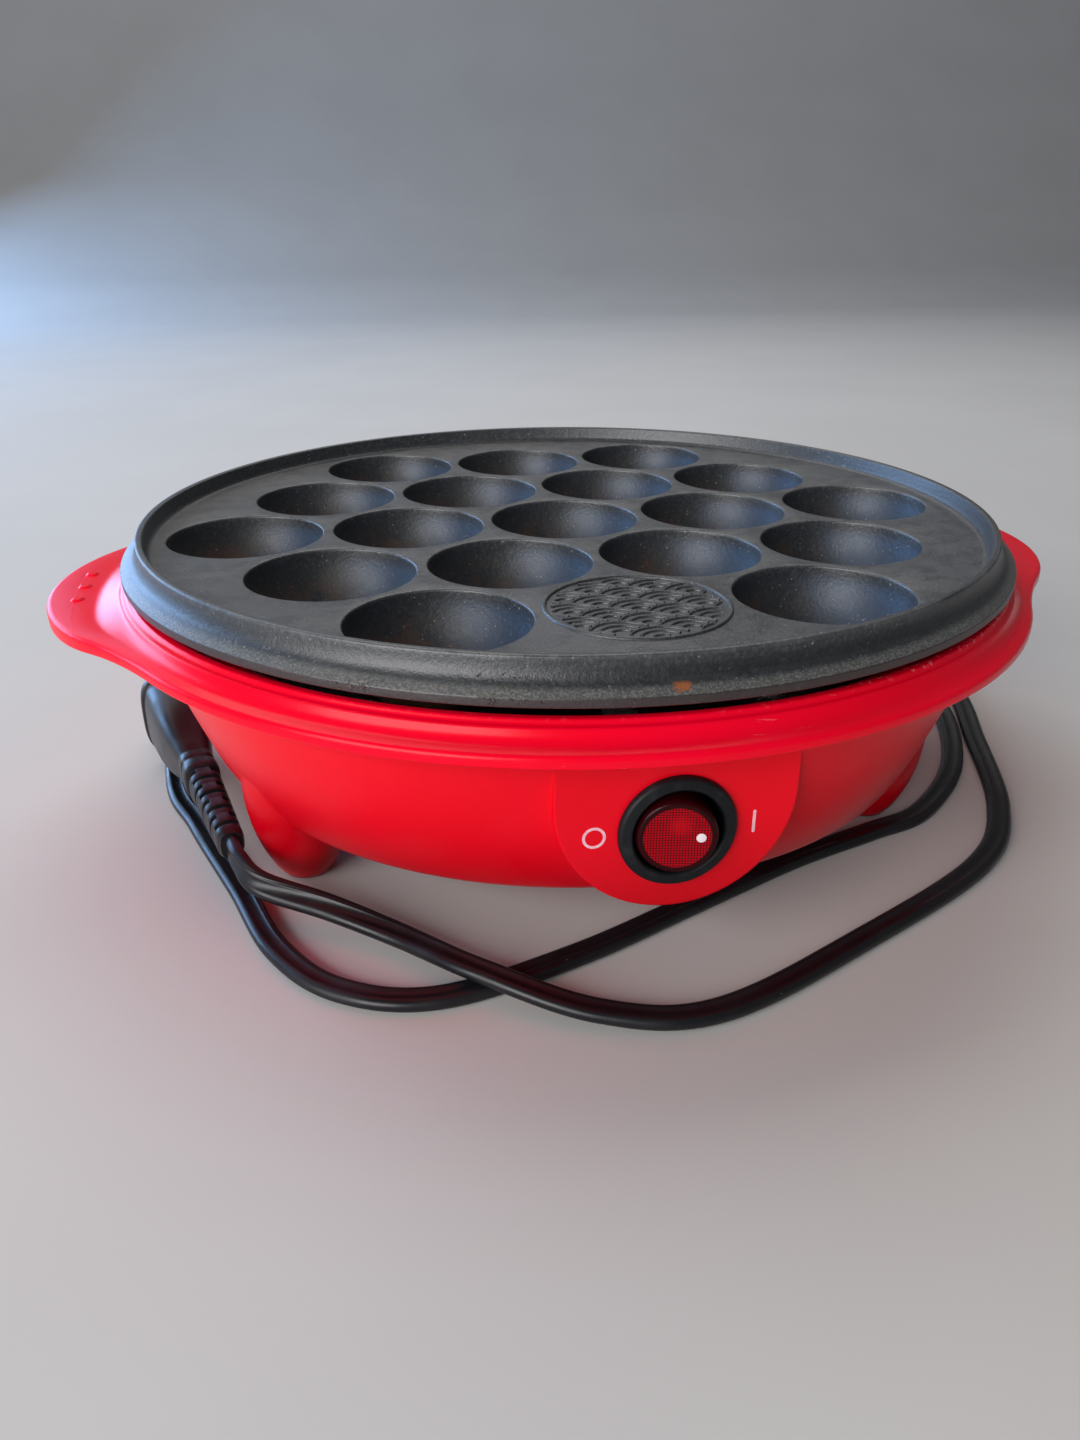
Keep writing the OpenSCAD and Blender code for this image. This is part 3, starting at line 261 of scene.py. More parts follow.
def lobe(ribbed):
    """Round side of one conductor, from the web under it to the web over it, with fine ribs or plain."""
    side = []
    for turn in range(-108, 109, 6 if ribbed else 12):
        a = math.radians(turn)
        groove = RIB * (0.5 - 0.5 * math.cos(RIBS * a)) * ease(2.4 - abs(abs(a) - 1.6) * 2.2)
        r = CORE_R - (groove if ribbed else 0)
        side.append((max(CORE_R + r * math.cos(a), 0.3), r * math.sin(a)))
    return side


WEB = 0.98
section = lobe(True) + [(0, WEB)] + [(-x, z) for x, z in lobe(False)[::-1]] + [(0, -WEB)]
pvc = Finish("cord_pvc", base_color=(0.0085, 0.009, 0.0105), roughness=0.34, specular_ior_level=0.4)
dust = pvc.specks(1.9, 0.16, 0.14) + pvc.specks(4.3, 0.3, 0.08)
haze = pvc.noise(14, 3).over(0.42, 0.7)
black = pvc.blend(haze * 0.35, (0.006, 0.0065, 0.008), (0.016, 0.016, 0.018))
pvc.put("Base Color", pvc.blend(dust, black, (0.2, 0.19, 0.18)))
pvc.put("Roughness", 0.32 + haze * 0.18 + dust * 0.3)
pvc.bump(pvc.noise(2.4, 3), 0.04)
shape = Shape()
sweep(shape, [point * 1000 for point in line], section, rolls)
power_cord = shape.piece("power_cord_pvc", "base", pvc, "power_cord", 60)

# ---- Plug ----
# Moulded two-pin plug lying on its narrow side, its blades one above the other. The body swells from
# a ringed neck to a broad face with a finger groove, and a slotted sleeve guards the cord.
plug_frame = Matrix.Translation((-89, -48, 12)) @ Matrix.Rotation(math.radians(16), 4, "Z")
plug_frame = plug_frame @ Matrix.Rotation(math.radians(2.4), 4, "X")
SLEEVE_L, PLUG_L, PLUG_W, PLUG_H = 32, 45, 8.0, 12.0


def oval(y, a, b, power=0.62, count=56):
    """Rounded section of the plug at place y, with half sizes a across and b up."""
    ring = []
    for i in range(count):
        c, s = math.cos(math.tau * i / count), math.sin(math.tau * i / count)
        ring.append((a * math.copysign(abs(c) ** power, c), y, b * math.copysign(abs(s) ** power, s)))
    return ring


def smooth_rows(stations, steps):
    """Sections between stations (place, half width, half height), smoothly in between."""
    fine = [along(stations, u / steps) for u in range((len(stations) - 1) * steps + 1)]
    return [oval(*p) for p in fine]


rubber = Finish("plug_vinyl", base_color=(0.012, 0.0125, 0.0145), roughness=0.42, specular_ior_level=0.45)
grime = rubber.noise(9, 4).over(0.45, 0.75)
marked = grime * 0.4 + rubber.specks(2.3, 0.16, 0.12)
rubber.put("Base Color", rubber.blend(marked, (0.009, 0.0095, 0.0115), (0.045, 0.044, 0.046)))
rubber.put("Roughness", 0.34 + grime * 0.16)
rubber.bump(rubber.noise(0.5, 2), 0.02)
shape = Shape()
stations = [
    (0, 3.9, 4.4), (0.5, 4.5, 5.1), (3.5, 4.6, 5.2), (4.1, 4.3, 4.9), (5.4, 4.2, 4.8), (6.0, 4.45, 5.1),
    (8.2, 4.5, 5.2), (8.8, 4.3, 5.0), (PLUG_L * 0.28, 4.95, 6.2), (PLUG_L * 0.42, 6.05, 8.2),
    (PLUG_L * 0.56, 6.8, 9.8), (PLUG_L * 0.7, 7.2, 10.8), (PLUG_L - 5.6, 7.5, 11.35),
    (PLUG_L - 5.0, 7.5, 11.4), (PLUG_L - 4.4, 7.05, 10.85), (PLUG_L - 3.1, 7.05, 10.85),
    (PLUG_L - 2.6, 7.75, 11.75),
    (PLUG_L - 2.2, PLUG_W, PLUG_H), (PLUG_L - 0.6, PLUG_W, PLUG_H), (PLUG_L, PLUG_W - 0.45, PLUG_H - 0.45),
]
rows = smooth_rows([(y + SLEEVE_L, w, h) for y, w, h in stations], 4)
shape.grid([[plug_frame @ Vector(p) for p in row] for row in rows], caps=True)
plug_body = shape.piece("plug_body_vinyl", "base", rubber, "plug_body", 32)

SLOTS, SIDES, SQUARE = 8, 96, 0.7
pitch = (SLEEVE_L - 2.4) / SLOTS
shape = Shape()
rows = [oval(0, 2.6, 3.5, SQUARE, SIDES)]
for i in range(SLOTS):
    for step, rib in ((0, 0), (0.12, 0.12), (0.52, 0.12), (0.56, 0), (0.58, -1), (0.98, -1)):
        y = 1.2 + (i + step) * pitch
        t = y / SLEEVE_L
        outer = oval(y, 3.0 + 1.05 * t + max(rib, 0), 3.9 + 0.75 * t + max(rib, 0), SQUARE, SIDES)
        inner = oval(y, 2.0 + 1.0 * t, 2.9 + 0.7 * t, SQUARE, SIDES)
        row = []
        for k, (far, near) in enumerate(zip(outer, inner)):
            a = math.tau * k / SIDES
            tied = abs(math.sin(a)) > 0.93 if i % 2 else abs(math.cos(a)) > 0.8
            row.append(far if rib >= 0 or tied else near)
        rows.append(row)
rows += [oval(SLEEVE_L - 1, 4.05, 4.65, SQUARE, SIDES), oval(SLEEVE_L, 3.8, 4.4, SQUARE, SIDES)]
shape.grid([[plug_frame @ Vector(p) for p in row] for row in rows], caps=True)
plug_sleeve = shape.piece("plug_sleeve_vinyl", "base", rubber, "plug_sleeve", 32)

nickel = Finish("blade_nickel", base_color=(0.62, 0.6, 0.56), metallic=1.0, roughness=0.24)
nickel.put("Roughness", 0.2 + nickel.noise(1.5, 2, (1, 0.1, 1)) * 0.2)


def wear(node, finish, sharp=30):
    """Gives a CAD node its material, welded and shaded smooth across its shallow edges."""
    part = nodes[node]
    part.data.materials.clear()
    part.data.materials.append(finish.material)
    weld = part.modifiers.new("weld", "WELD")
    weld.merge_threshold = 1e-6
    part.modifiers.new("edges", "EDGE_SPLIT").split_angle = math.radians(sharp)


wear("plug_blades", nickel)
wear("cord_bushing", rubber, 25)
wear("cord_tail", pvc, 60)

# ---- Grill plate ----
# Die-cast aluminium plate with a grey-black non-stick coating. Its 18 half-ball cups share one deck,
# with a ringed wave-scale relief in the bare front place. A lip stands round it, its flared skirt hangs
# over the body's ridge with a narrow gap below, and its four pins stand on the posts.
PITCH = 40.6
ROW = PITCH * math.sqrt(3) / 2
cups = []
for row, count in enumerate((3, 4, 5, 4, 3)):
    cups += [((k - (count - 1) / 2) * PITCH, (row - 2) * ROW) for k in range(count)]
cups.remove((0.0, -2 * ROW))
DECK, DECK_R, UNDERSIDE, UNDERSIDE_R = 72.0, 100.9, 69.6, 103.8
LIP_TOP, SKIRT_R, SKIRT_FOOT = 76.2, 110.3, 68
MOUTH_R, CUP_R, SHELL_R = 19.35, 18.94, 19.9


def rounded(corners, steps=5, closed=False):
    """An outline whose corners are eased: each corner is (x, z) or (x, z, radius)."""
    out = []
    for i, corner in enumerate(corners):
        p = Vector(corner[:2])
        before, after = Vector(corners[i - 1][:2]), Vector(corners[(i + 1) % len(corners)][:2])
        if len(corner) == 2 or (not closed and i in (0, len(corners) - 1)):
            out.append(p)
            continue
        cut = min(corner[2], 0.49 * (before - p).length, 0.49 * (after - p).length)
        a, b = p + (before - p).normalized() * cut, p + (after - p).normalized() * cut
        for k in range(steps + 1):
            t = k / steps
            out.append(a.lerp(p, t).lerp(p.lerp(b, t), t))
    return [tuple(p) for p in out]


def pierced(shape, z, radius, hole):
    """A flat disc with a round hole at each cup."""
    turns = [math.tau * i / 360 for i in range(360)]
    loops = [[(radius * math.cos(t), radius * math.sin(t)) for t in turns]]
    turns = [math.tau * i / 96 for i in range(96)]
    loops += [[(x + hole * math.cos(t), y + hole * math.sin(t)) for t in turns] for x, y in cups]
    edges = []
    for loop in loops:
        verts = [shape.bm.verts.new((x / 1000, y / 1000, z / 1000)) for x, y in loop]
        edges += [shape.bm.edges.new((verts[i - 1], verts[i])) for i in range(len(verts))]
    bmesh.ops.triangle_fill(shape.bm, edges=edges, use_beauty=True)


def bowl_arc(radius, top, depth, start=0.0, count=26, fullness=1.0):
    """Half of a cup's section, from its wall at height top down to its lowest point."""
    turns = [math.radians(start + (90 - start) * i / count) for i in range(count + 1)]
    return [(radius * max(math.cos(t), 0) ** fullness, top - depth * math.sin(t)) for t in turns]


shape = Shape()
pierced(shape, DECK, DECK_R, MOUTH_R)
pierced(shape, UNDERSIDE, UNDERSIDE_R, 19.67)
eased = [(MOUTH_R, DECK), (19.22, 71.97), (19.1, 71.88), (19.0, 71.72), (18.96, 71.5)]
for x, y in cups:
    place = Matrix.Translation((x, y, 0))
    shape.lathe(eased + bowl_arc(CUP_R, 71.3, 16.8, fullness=0.94), place, 96)
    shape.lathe(bowl_arc(SHELL_R, 72.6, 19.9, 8.67, 12), place, 96)
lip = [
    (DECK_R, DECK), (101.1, DECK), (103.9, DECK, 2.4), (104.55, LIP_TOP, 0.5), (106.2, LIP_TOP, 0.55),
    (106.45, 73.9, 1.0), (107.3, 71.75, 1.6), (SKIRT_R, 69.85, 0.28), (SKIRT_R, SKIRT_FOOT, 0.3),
    (107.9, SKIRT_FOOT, 0.4), (107.3, 69.3, 0.5), (UNDERSIDE_R, UNDERSIDE),
]
shape.lathe(rounded(lip), steps=360)
pin = rounded([(0, 49.8), (3.2, 49.8, 0.5), (3.2, 66, 1), (4.4, 69.7)])
for x in (-PITCH, PITCH):
    for y in (-2 * PITCH / math.sqrt(3), 2 * PITCH / math.sqrt(3)):
        shape.lathe(pin, Matrix.Translation((x, y, 0)), 32)
crown = [
    (-0.5, -0.1), (-0.46, 0.35), (-0.32, 0.82), (-0.12, 1),
    (0.12, 1), (0.32, 0.82), (0.46, 0.35), (0.5, -0.1),
]


def ridge(points, width, height, closed=False):
    """A low rounded ridge on the deck along a line of points."""
    path = [Vector((x, y, DECK)) for x, y in points]
    if closed:
        rows = []
        for i, p in enumerate(path):
            ahead = path[(i + 1) % len(path)] - path[i - 1]
            side = ahead.cross(Vector((0, 0, 1))).normalized()
            rows.append([p + side * (x * width) + Vector((0, 0, z * height)) for x, z in crown])
        shape.grid(rows, ring=False, loop=True)
    else:
        sweep(shape, path, [(x * width, z * height) for x, z in crown])


relief_y, RING_R, SCALE_R = -2 * ROW, 19.05, 7.0
turns = [math.tau * i / 128 for i in range(128)]
ridge([(RING_R * math.cos(t), relief_y + RING_R * math.sin(t)) for t in turns], 0.95, 0.5, closed=True)
centres = []
for k in range(-4, 9):
    y = relief_y - 3.2 + (2 - k) * SCALE_R / 2 * 1.15
    centres += [((i + (k % 2) / 2) * 2 * SCALE_R, y) for i in range(-3, 3)]
for cx, cy in centres:
    below = [c for c in centres if c[1] < cy - 0.1]
    for radius in (SCALE_R - 0.35, SCALE_R * 0.66, SCALE_R * 0.33):
        run = []
        for i in range(61):
            t = math.pi * (i - 3) / 54
            x, y = cx + radius * math.cos(t), cy + radius * math.sin(t)
            clear = all(math.hypot(x - bx, y - by) > SCALE_R + 0.15 for bx, by in below)
            free = clear and math.hypot(x, y - relief_y) < 17.7
            if free:
                run.append((x, y))
            if (not free or i == 60) and len(run) > 3:
                ridge(run, 0.75, 0.42)
            if not free:
                run = []
coat = Finish("plate_coating", base_color=(0.015, 0.017, 0.019), roughness=0.38, specular_ior_level=0.9)
grill_plate = shape.piece("grill_plate_cast", "plate", coat, "grill_plate", 40)
local = grill_plate.data.attributes.new("cup", "FLOAT_VECTOR", "POINT")
for vertex in grill_plate.data.vertices:
    x, y, z = (1000 * v for v in vertex.co)
    near = min(cups, key=lambda c: math.hypot(c[0] - x, c[1] - y))
    inside = math.hypot(near[0] - x, near[1] - y) < 19.3
    if inside and z < 71.95:
        local.data[vertex.index].vector = ((x - near[0]) / 18, (y - near[1]) / 18, (72 - z) / 17.5)
cup_place = coat.node("Attribute", {"attribute_name": "cup"}, None, 1)
cx = coat.node("SeparateXYZ", None, {0: cup_place}, 0)
cy = coat.node("SeparateXYZ", None, {0: cup_place}, 1)
depth = coat.node("SeparateXYZ", None, {0: cup_place}, 2)
px = coat.node("SeparateXYZ", None, {0: coat.spot()}, 0)
py = coat.node("SeparateXYZ", None, {0: coat.spot()}, 1)
pz = coat.node("SeparateXYZ", None, {0: coat.spot()}, 2)
cloud = coat.noise(26, 4)
fine = coat.noise(0.85, 3, rough=0.7)
grey = coat.blend(cloud.over(0.3, 0.72), (0.010, 0.013, 0.016), (0.018, 0.021, 0.024))
sand = fine.over(0.44, 0.66) * 0.5 + coat.specks(0.9, 0.22, 0.3) * 0.5
grey = coat.blend(sand, grey, (0.075, 0.078, 0.08))
in_cup = depth.over(0.02, 0.12)
grey = coat.blend(in_cup * 0.4, grey, (0.008, 0.009, 0.010))
stain = coat.noise(7.5, 5, rough=0.65).over(0.38, 0.62) * depth.over(0.15, 0.75)
low_left = (cx * -0.6 + cy * -0.35 + 0.65).over(0.0, 0.8)
# Painted reflection: a blue tint on the cups' right walls stands in for the cool window light that they
# reflect.
painted_blue_reflection = (cx * 0.9 + cy * 0.2 - 0.1).over(0.1, 0.7) * depth.over(0.04, 0.25)
grey = coat.blend(painted_blue_reflection * (0.35 + fine * 0.65), grey, (0.020, 0.052, 0.112))
grey = coat.blend(stain * low_left * 0.85, grey, (0.14, 0.056, 0.017))
grey = coat.blend(coat.noise(2.6, 4).over(0.6, 0.72) * stain * 0.55, grey, (0.17, 0.066, 0.020))
mouth = pz.over(71.3, 71.85) * pz.over(72.3, 71.98) * in_cup.over(0.6, 0.0)
rim_wear = mouth * coat.noise(5, 3).over(0.35, 0.6)
grey = coat.blend(rim_wear * 0.4, grey, (0.10, 0.10, 0.10))
specks = coat.specks(0.95, 0.2, 0.16) + coat.specks(2.1, 0.3, 0.12)
grey = coat.blend(specks * 0.7, grey, (0.27, 0.262, 0.24))
gold = coat.specks(2.7, 0.24, 0.2)
grey = coat.blend(gold * 0.5, grey, (0.30, 0.20, 0.09))
radius = (px * px + py * py) ** 0.5
lip_edge = radius.over(105.3, 106.0) * radius.over(106.9, 106.3) * pz.over(75.0, 76.0)
grey = coat.blend(lip_edge * coat.noise(9, 4).over(0.3, 0.7) * 0.4, grey, (0.16, 0.16, 0.155))
# Painted shade: the hollow band round the outside of the lip is darkened almost to black.
hollow = radius.over(106.3, 106.6) * radius.over(108.2, 107.4)
grey = coat.blend(hollow * 0.7, grey, (0.004, 0.0045, 0.005))
flare = radius.over(107.8, 109.2) * radius.over(110.27, 110.15)
grit = coat.noise(0.45, 2).over(0.46, 0.62)
grey = coat.blend(flare * (0.3 + grit * 0.6), grey, (0.15, 0.147, 0.135))
crumbs = coat.noise(1.4, 4, rough=0.7).over(0.60, 0.66) * coat.noise(11, 2).over(0.5, 0.58)
crumbs = crumbs * radius.over(106.6, 107.4) * (px + py * 1.2).over(-110, -135)
grey = coat.blend(crumbs * 0.8, grey, (0.26, 0.22, 0.13))
RUST_X, RUST_Y = -2.6, -108.2
rust_x, rust_y = px - RUST_X, py - RUST_Y
rust = (rust_x * rust_x + rust_y * rust_y + coat.noise(1, 3) * 7).over(7, 4) * radius.over(107.6, 108.4)
grey = coat.blend(rust, grey, (0.30, 0.085, 0.018))
# Painted shadow: the skirt's bottom edge is darkened, tinted with a painted red reflection of the rim
# below it.
edge = radius.over(110.15, 110.28)
grey = coat.blend(edge * 0.8, grey, (0.022, 0.009, 0.009))
coat.put("Base Color", grey)
coat.put("Roughness", 0.34 + fine * 0.14 + in_cup * 0.07 + cloud * 0.06 + stain * 0.15 + specks * 0.1)
coat.bump(fine * 1.3 + coat.noise(2.2, 2) * 0.5 + crumbs * 4, 0.09)

# ---- Rim ring ----
# Upper moulding of glossy red plastic: an inner ledge and ridge round the plate, a gently falling
# flange and two ears with three grip dots each. Four lugs inside take the screws from below.
RIM_R, REACH, NOSE_R, HOLLOW_R = 115.5, 129.2, 57.5, 150
LEDGE_R, LEDGE_TOP, RIDGE_R, RIDGE_TOP, SEAM = 100.9, 61.8, 107.6, 65.7, 58.8


def outline_r(angle):
    """Radius of the rim's outline: an ear's nose, a hollow blend, or the flange's own circle."""
    a = abs((angle % 360 + 540) % 360 - 180)
    a = math.radians(180 - a if a > 90 else a)
    nose, near, far = REACH - NOSE_R, NOSE_R + HOLLOW_R, RIM_R + HOLLOW_R
    bx = (far ** 2 - near ** 2 + nose ** 2) / (2 * nose)
    by = math.sqrt(far ** 2 - bx ** 2)
    if a < math.atan2(NOSE_R * by / near, nose + NOSE_R * (bx - nose) / near):
        return nose * math.cos(a) + math.sqrt(NOSE_R ** 2 - (nose * math.sin(a)) ** 2)
    if a < math.atan2(by, bx):
        across = bx * math.sin(a) - by * math.cos(a)
        return bx * math.cos(a) + by * math.sin(a) - math.sqrt(HOLLOW_R ** 2 - across ** 2)
    return RIM_R


def mix(a, b, t):
    return a + (b - a) * t


def rim_section(angle):
    """Section of the rim at one angle, from the inner ledge under the flange, out and back over."""
    ro = outline_r(angle)
    e = ease((ro - RIM_R) / (REACH - RIM_R) * 1.25)
    zt, zb = mix(61.1, 61.2, e), mix(SEAM, 57.4, e)
    return rounded([
        (LEDGE_R, 58.2, 0.3), (104.1, 58.2, 0.3), (104.1, SEAM), (108, SEAM),
        (ro - 5, mix(SEAM, 57.9, e), 1),
        (ro - 2.3, mix(SEAM, 59.2, e), 0.6), (ro - 2.1, zb, 0.3), (ro - 0.1, zb, 0.4), (ro, zt, 1.3),
        (mix(112.7, 116.5, e), mix(61.95, 61.45, e), 1.4), (111.6, mix(63.0, 63.6, e), 1.2),
        (110.9, 64.55, 0.35), (109.9, 64.85, 0.4), (109.35, RIDGE_TOP, 0.4), (RIDGE_R, RIDGE_TOP, 0.4),
        (RIDGE_R, LEDGE_TOP, 0.4), (LEDGE_R, LEDGE_TOP, 0.4),
    ], 5, closed=True)


shape = Shape()
rows = []
for i in range(360):
    c, s = math.cos(math.radians(i)), math.sin(math.radians(i))
    rows.append([(r * c, r * s, z) for r, z in rim_section(i)])
shape.grid(rows, loop=True)
DOT_X, DOT_PITCH, LUG_PLACE_R = 121, 10, 99.7
dot = rounded([(0, 61.9), (1.1, 61.88, 0.5), (1.45, 61.5, 0.3), (1.9, 61.15)], 4)
for side in (-1, 1):
    for k in (-1, 0, 1):
        shape.lathe(dot, Matrix.Translation((side * DOT_X, k * DOT_PITCH, 0)), 40)
for angle in (30, 150, 210, 330):
    place = Matrix.Rotation(math.radians(angle), 4, "Z") @ Matrix.Translation((LUG_PLACE_R, 0, 0))
    shape.lathe(rounded([(0, 61.78), (4.2, 61.78, 0.4), (4.2, 58.3)]), place, 40)
red = Finish("rim_plastic", base_color=(0.9, 0.0, 0.012), roughness=0.2, specular_ior_level=0.16)
cloud = red.noise(30, 3)
worn = red.noise(1.6, 4, (1, 1, 0.4), 0.7)
rx = red.node("SeparateXYZ", None, {0: red.spot()}, 0)
ry = red.node("SeparateXYZ", None, {0: red.spot()}, 1)
rz = red.node("SeparateXYZ", None, {0: red.spot()}, 2)
round_r = (rx * rx + ry * ry) ** 0.5
crest = rz.over(65.0, 65.6)
shade = red.blend(cloud.over(0.3, 0.75) * 0.5, (0.90, 0.0, 0.018), (0.95, 0.0, 0.030))
front_right = ((rx - 62) ** 2 + (ry + 95) ** 2).over(1500, 120)
scuff = crest * worn.over(0.54, 0.72) * (0.06 + front_right * 0.8)
shade = red.blend(scuff, shade, (0.88, 0.42, 0.46))
scratch = red.noise(0.9, 3, (0.12, 1.6, 1), 0.6).over(0.70, 0.76)
shade = red.blend(scratch * 0.35, shade, (0.85, 0.2, 0.26))
lint = red.specks(6.5, 0.22, 0.07)
shade = red.blend(lint * 0.7, shade, (0.9, 0.6, 0.6))
red.put("Base Color", shade)
red.put("Roughness", 0.2 + cloud * 0.07 + scuff * 0.4 + lint * 0.4 + round_r.over(119.5, 126) * 0.09)
red.bump(red.noise(22, 2) * 0.8 + red.noise(0.5, 2) * 0.12, 0.12)
shape.piece("rim_ring_plastic", "base", red, "rim_ring", 50)

# ---- Rim screws ----
# Four zinc-plated self-tapping screws through the rim's lugs into the bowl's bosses.
zinc = Finish("screw_zinc", base_color=(0.6, 0.6, 0.62), metallic=1.0, roughness=0.32)
zinc.put("Roughness", 0.26 + zinc.noise(1.2, 3) * 0.2)
wear("rim_screws", zinc)

# ---- Bowl ----
# Lower moulding of red plastic with a fine spark-eroded grain: a bowl on four tapered legs, with a
# flat U-shaped panel in front for the switch.
grain = Finish("bowl_plastic", base_color=(0.9, 0.0, 0.012), roughness=0.36, specular_ior_level=0.2)
gz = grain.node("SeparateXYZ", None, {0: grain.spot()}, 2)
gx = grain.node("SeparateXYZ", None, {0: grain.spot()}, 0)
# Painted shade: the bowl's red darkens towards the bottom, from 42 mm down to 14 mm up.
low = gz.over(42, 14)
shade = grain.blend(grain.noise(24, 3).over(0.3, 0.72) * 0.5, (0.82, 0.0, 0.010), (0.88, 0.0, 0.017))
shade = grain.blend(low * 0.75, shade, (0.4, 0.0, 0.005))
lint = grain.specks(5.5, 0.2, 0.07) + grain.specks(11, 0.3, 0.1)
shade = grain.blend(lint * 0.55, shade, (0.85, 0.45, 0.45))
grain.put("Base Color", shade)
grain.put("Roughness", 0.27 + grain.noise(18, 3) * 0.1 + lint * 0.3)
grain.bump(grain.noise(0.32, 2), 0.035, soften=0.6 + abs(gx).over(36, 46) * 3)
wear("base_bowl", grain, 28)

# ---- Foot pads ----
# Four pads of soft black rubber, pressed into the ends of the legs.
black_rubber = Finish("pad_rubber", base_color=(0.02, 0.02, 0.02), roughness=0.75)
black_rubber.put("Roughness", 0.7 + black_rubber.noise(1.5) * 0.15)
wear("foot_pads", black_rubber)

# ---- Reflector pan ----
# Pressed pan of bright aluminised sheet under the element, on three zinc-plated screws. Four posts
# beside it carry the plate.
sheet = Finish("pan_sheet", base_color=(0.66, 0.66, 0.67), metallic=1.0, roughness=0.25)
heat = sheet.noise(16, 4).over(0.45, 0.75)
sheet.put("Base Color", sheet.blend(heat * 0.5, (0.68, 0.68, 0.69), (0.5, 0.43, 0.34)))
sheet.put("Roughness", 0.2 + sheet.noise(2.5, 3) * 0.2)
wear("reflector_pan", sheet)
wear("pan_screws", zinc)
wear("plate_posts", zinc)

# ---- Heating element ----
# Steel-sheathed element bent to an open ring, with a ceramic seal at each end. Three spring clips of
# aluminised sheet hold it on the pan.
sheath = Finish("heater_sheath", base_color=(0.16, 0.15, 0.145), metallic=0.8, roughness=0.5)
tarnish = sheath.noise(9, 4).over(0.35, 0.7)
sheath.put("Base Color", sheath.blend(tarnish, (0.12, 0.115, 0.11), (0.25, 0.2, 0.17)))
wear("heating_element", sheath)
wear("heater_clips", sheet)
ceramic = Finish("seal_ceramic", base_color=(0.85, 0.82, 0.75), roughness=0.6)
glaze = ceramic.noise(3).over(0.4, 0.7)
ceramic.put("Base Color", ceramic.blend(glaze, (0.85, 0.82, 0.75), (0.72, 0.68, 0.6)))
wear("heater_seals", ceramic)

# ---- Thermostat and fuse ----
# Snap-disc thermostat with a sheet cap on a brown phenolic base and two brass blades. Beside it a
# thermal fuse in a pale sleeve lies under a strap.
phenol = Finish("thermostat_phenolic", base_color=(0.12, 0.07, 0.05), roughness=0.5)
phenol.put("Roughness", 0.4 + phenol.noise(2) * 0.2)
brass = Finish("contact_brass", base_color=(0.75, 0.55, 0.26), metallic=1.0, roughness=0.3)
brass.put("Roughness", 0.24 + brass.noise(1.5, 3) * 0.2)
nylon = Finish("clamp_nylon", base_color=(0.8, 0.79, 0.75), roughness=0.45)
nylon.put("Roughness", 0.4 + nylon.noise(3) * 0.15)
wear("thermostat_cap", sheet)
wear("thermostat_base", phenol)
wear("thermostat_blades", brass)
wear("thermal_fuse", nylon)
wear("fuse_strap", sheet)

# ---- Leads and cord clamp ----
# Stranded leads in silicone near the heat and in PVC at the switch, joined under crimp caps. A nylon
# clamp on two zinc-plated screws holds the cord's tail.
silicone = Finish("lead_silicone", base_color=(0.76, 0.75, 0.7), roughness=0.6)
silicone.put("Roughness", 0.5 + silicone.noise(2) * 0.2)
for name in ("fuse_lead", "heater_lead", "neutral_lead"):
    wear(name, silicone, 60)
for name in ("line_lead", "switch_lead"):
    wear(name, pvc, 60)
wear("lead_caps", nylon)
wear("cord_clamp", nylon)
wear("clamp_screws", zinc)

# ---- Switch housing ----
# Round snap-in housing of matte black nylon: a broad bezel with a flat, slightly coned face and a deep
# bore. Its three brass blades and the lever that the rocker tips are behind it.
matte = Finish("switch_nylon", base_color=(0.0075, 0.009, 0.0105), roughness=0.46, specular_ior_level=0.22)
bloom = matte.noise(4, 4).over(0.5, 0.75)
dots = matte.specks(1.5, 0.09, 0.1)
matte.put("Base Color", matte.blend(bloom * 0.25 + dots, (0.0068, 0.0085, 0.010), (0.05, 0.055, 0.055)))
matte.put("Roughness", 0.46 + bloom * 0.14)
matte.bump(matte.noise(0.25, 2), 0.012)
SWITCH_Z, PANEL_Y, HINGE_Y, PRESSED = 38.2, -102.6, -101.1, -10.5
on_panel = Matrix.Translation((0, PANEL_Y, SWITCH_Z)) @ Matrix.Rotation(math.radians(90), 4, "X")
shape = Shape()
bezel = rounded([
    (0, -19.2), (9.9, -19.2, 0.5), (9.9, 0), (11.8, 0), (11.8, 0.9, 0.3), (11.35, 1.5, 0.35),
    (9.5, 1.85, 0.22), (9.0, 1.35, 0.25), (9.0, -7.4), (0, -7.4),
], 5)
shape.lathe(bezel, on_panel, 128)
shape.piece("switch_housing_nylon", "base", matte, "switch_housing", 40)
wear("switch_terminals", brass)
wear("contact_lever", brass)

# ---- Rocker ----
# Round rocker of clear dark red polycarbonate with a square prism grid under its flat face and one
# white dot. It turns on an upright pin deep in the bore, and its left side is pressed in.
hinge = Matrix.Translation((0, HINGE_Y, SWITCH_Z)) @ Matrix.Rotation(math.radians(PRESSED), 4, "Z")
face_place = hinge @ Matrix.Rotation(math.radians(90), 4, "X")
lens_red = Finish("rocker_lens", base_color=(0.2, 0.0, 0.004), roughness=0.2, specular_ior_level=0.12)
inverse = (Matrix.Scale(0.001, 4) @ face_place @ Matrix.Scale(1000, 4)).inverted()
flat = lens_red.node("Mapping", {"vector_type": "POINT"}, {
    "Vector": lens_red.node("TexCoord", out=3), "Location": tuple(inverse.to_translation()),
    "Rotation": tuple(inverse.to_euler()),
})
u = lens_red.node("SeparateXYZ", None, {0: flat}, 0) * 1000
v = lens_red.node("SeparateXYZ", None, {0: flat}, 1) * 1000
w = lens_red.node("SeparateXYZ", None, {0: flat}, 2) * 1000
PRISM, LENS_R = 0.56, 6.6
cell_u = abs(u.maths("FRACT", u / PRISM) - 0.5)
cell_v = abs(v.maths("FRACT", v / PRISM) - 0.5)
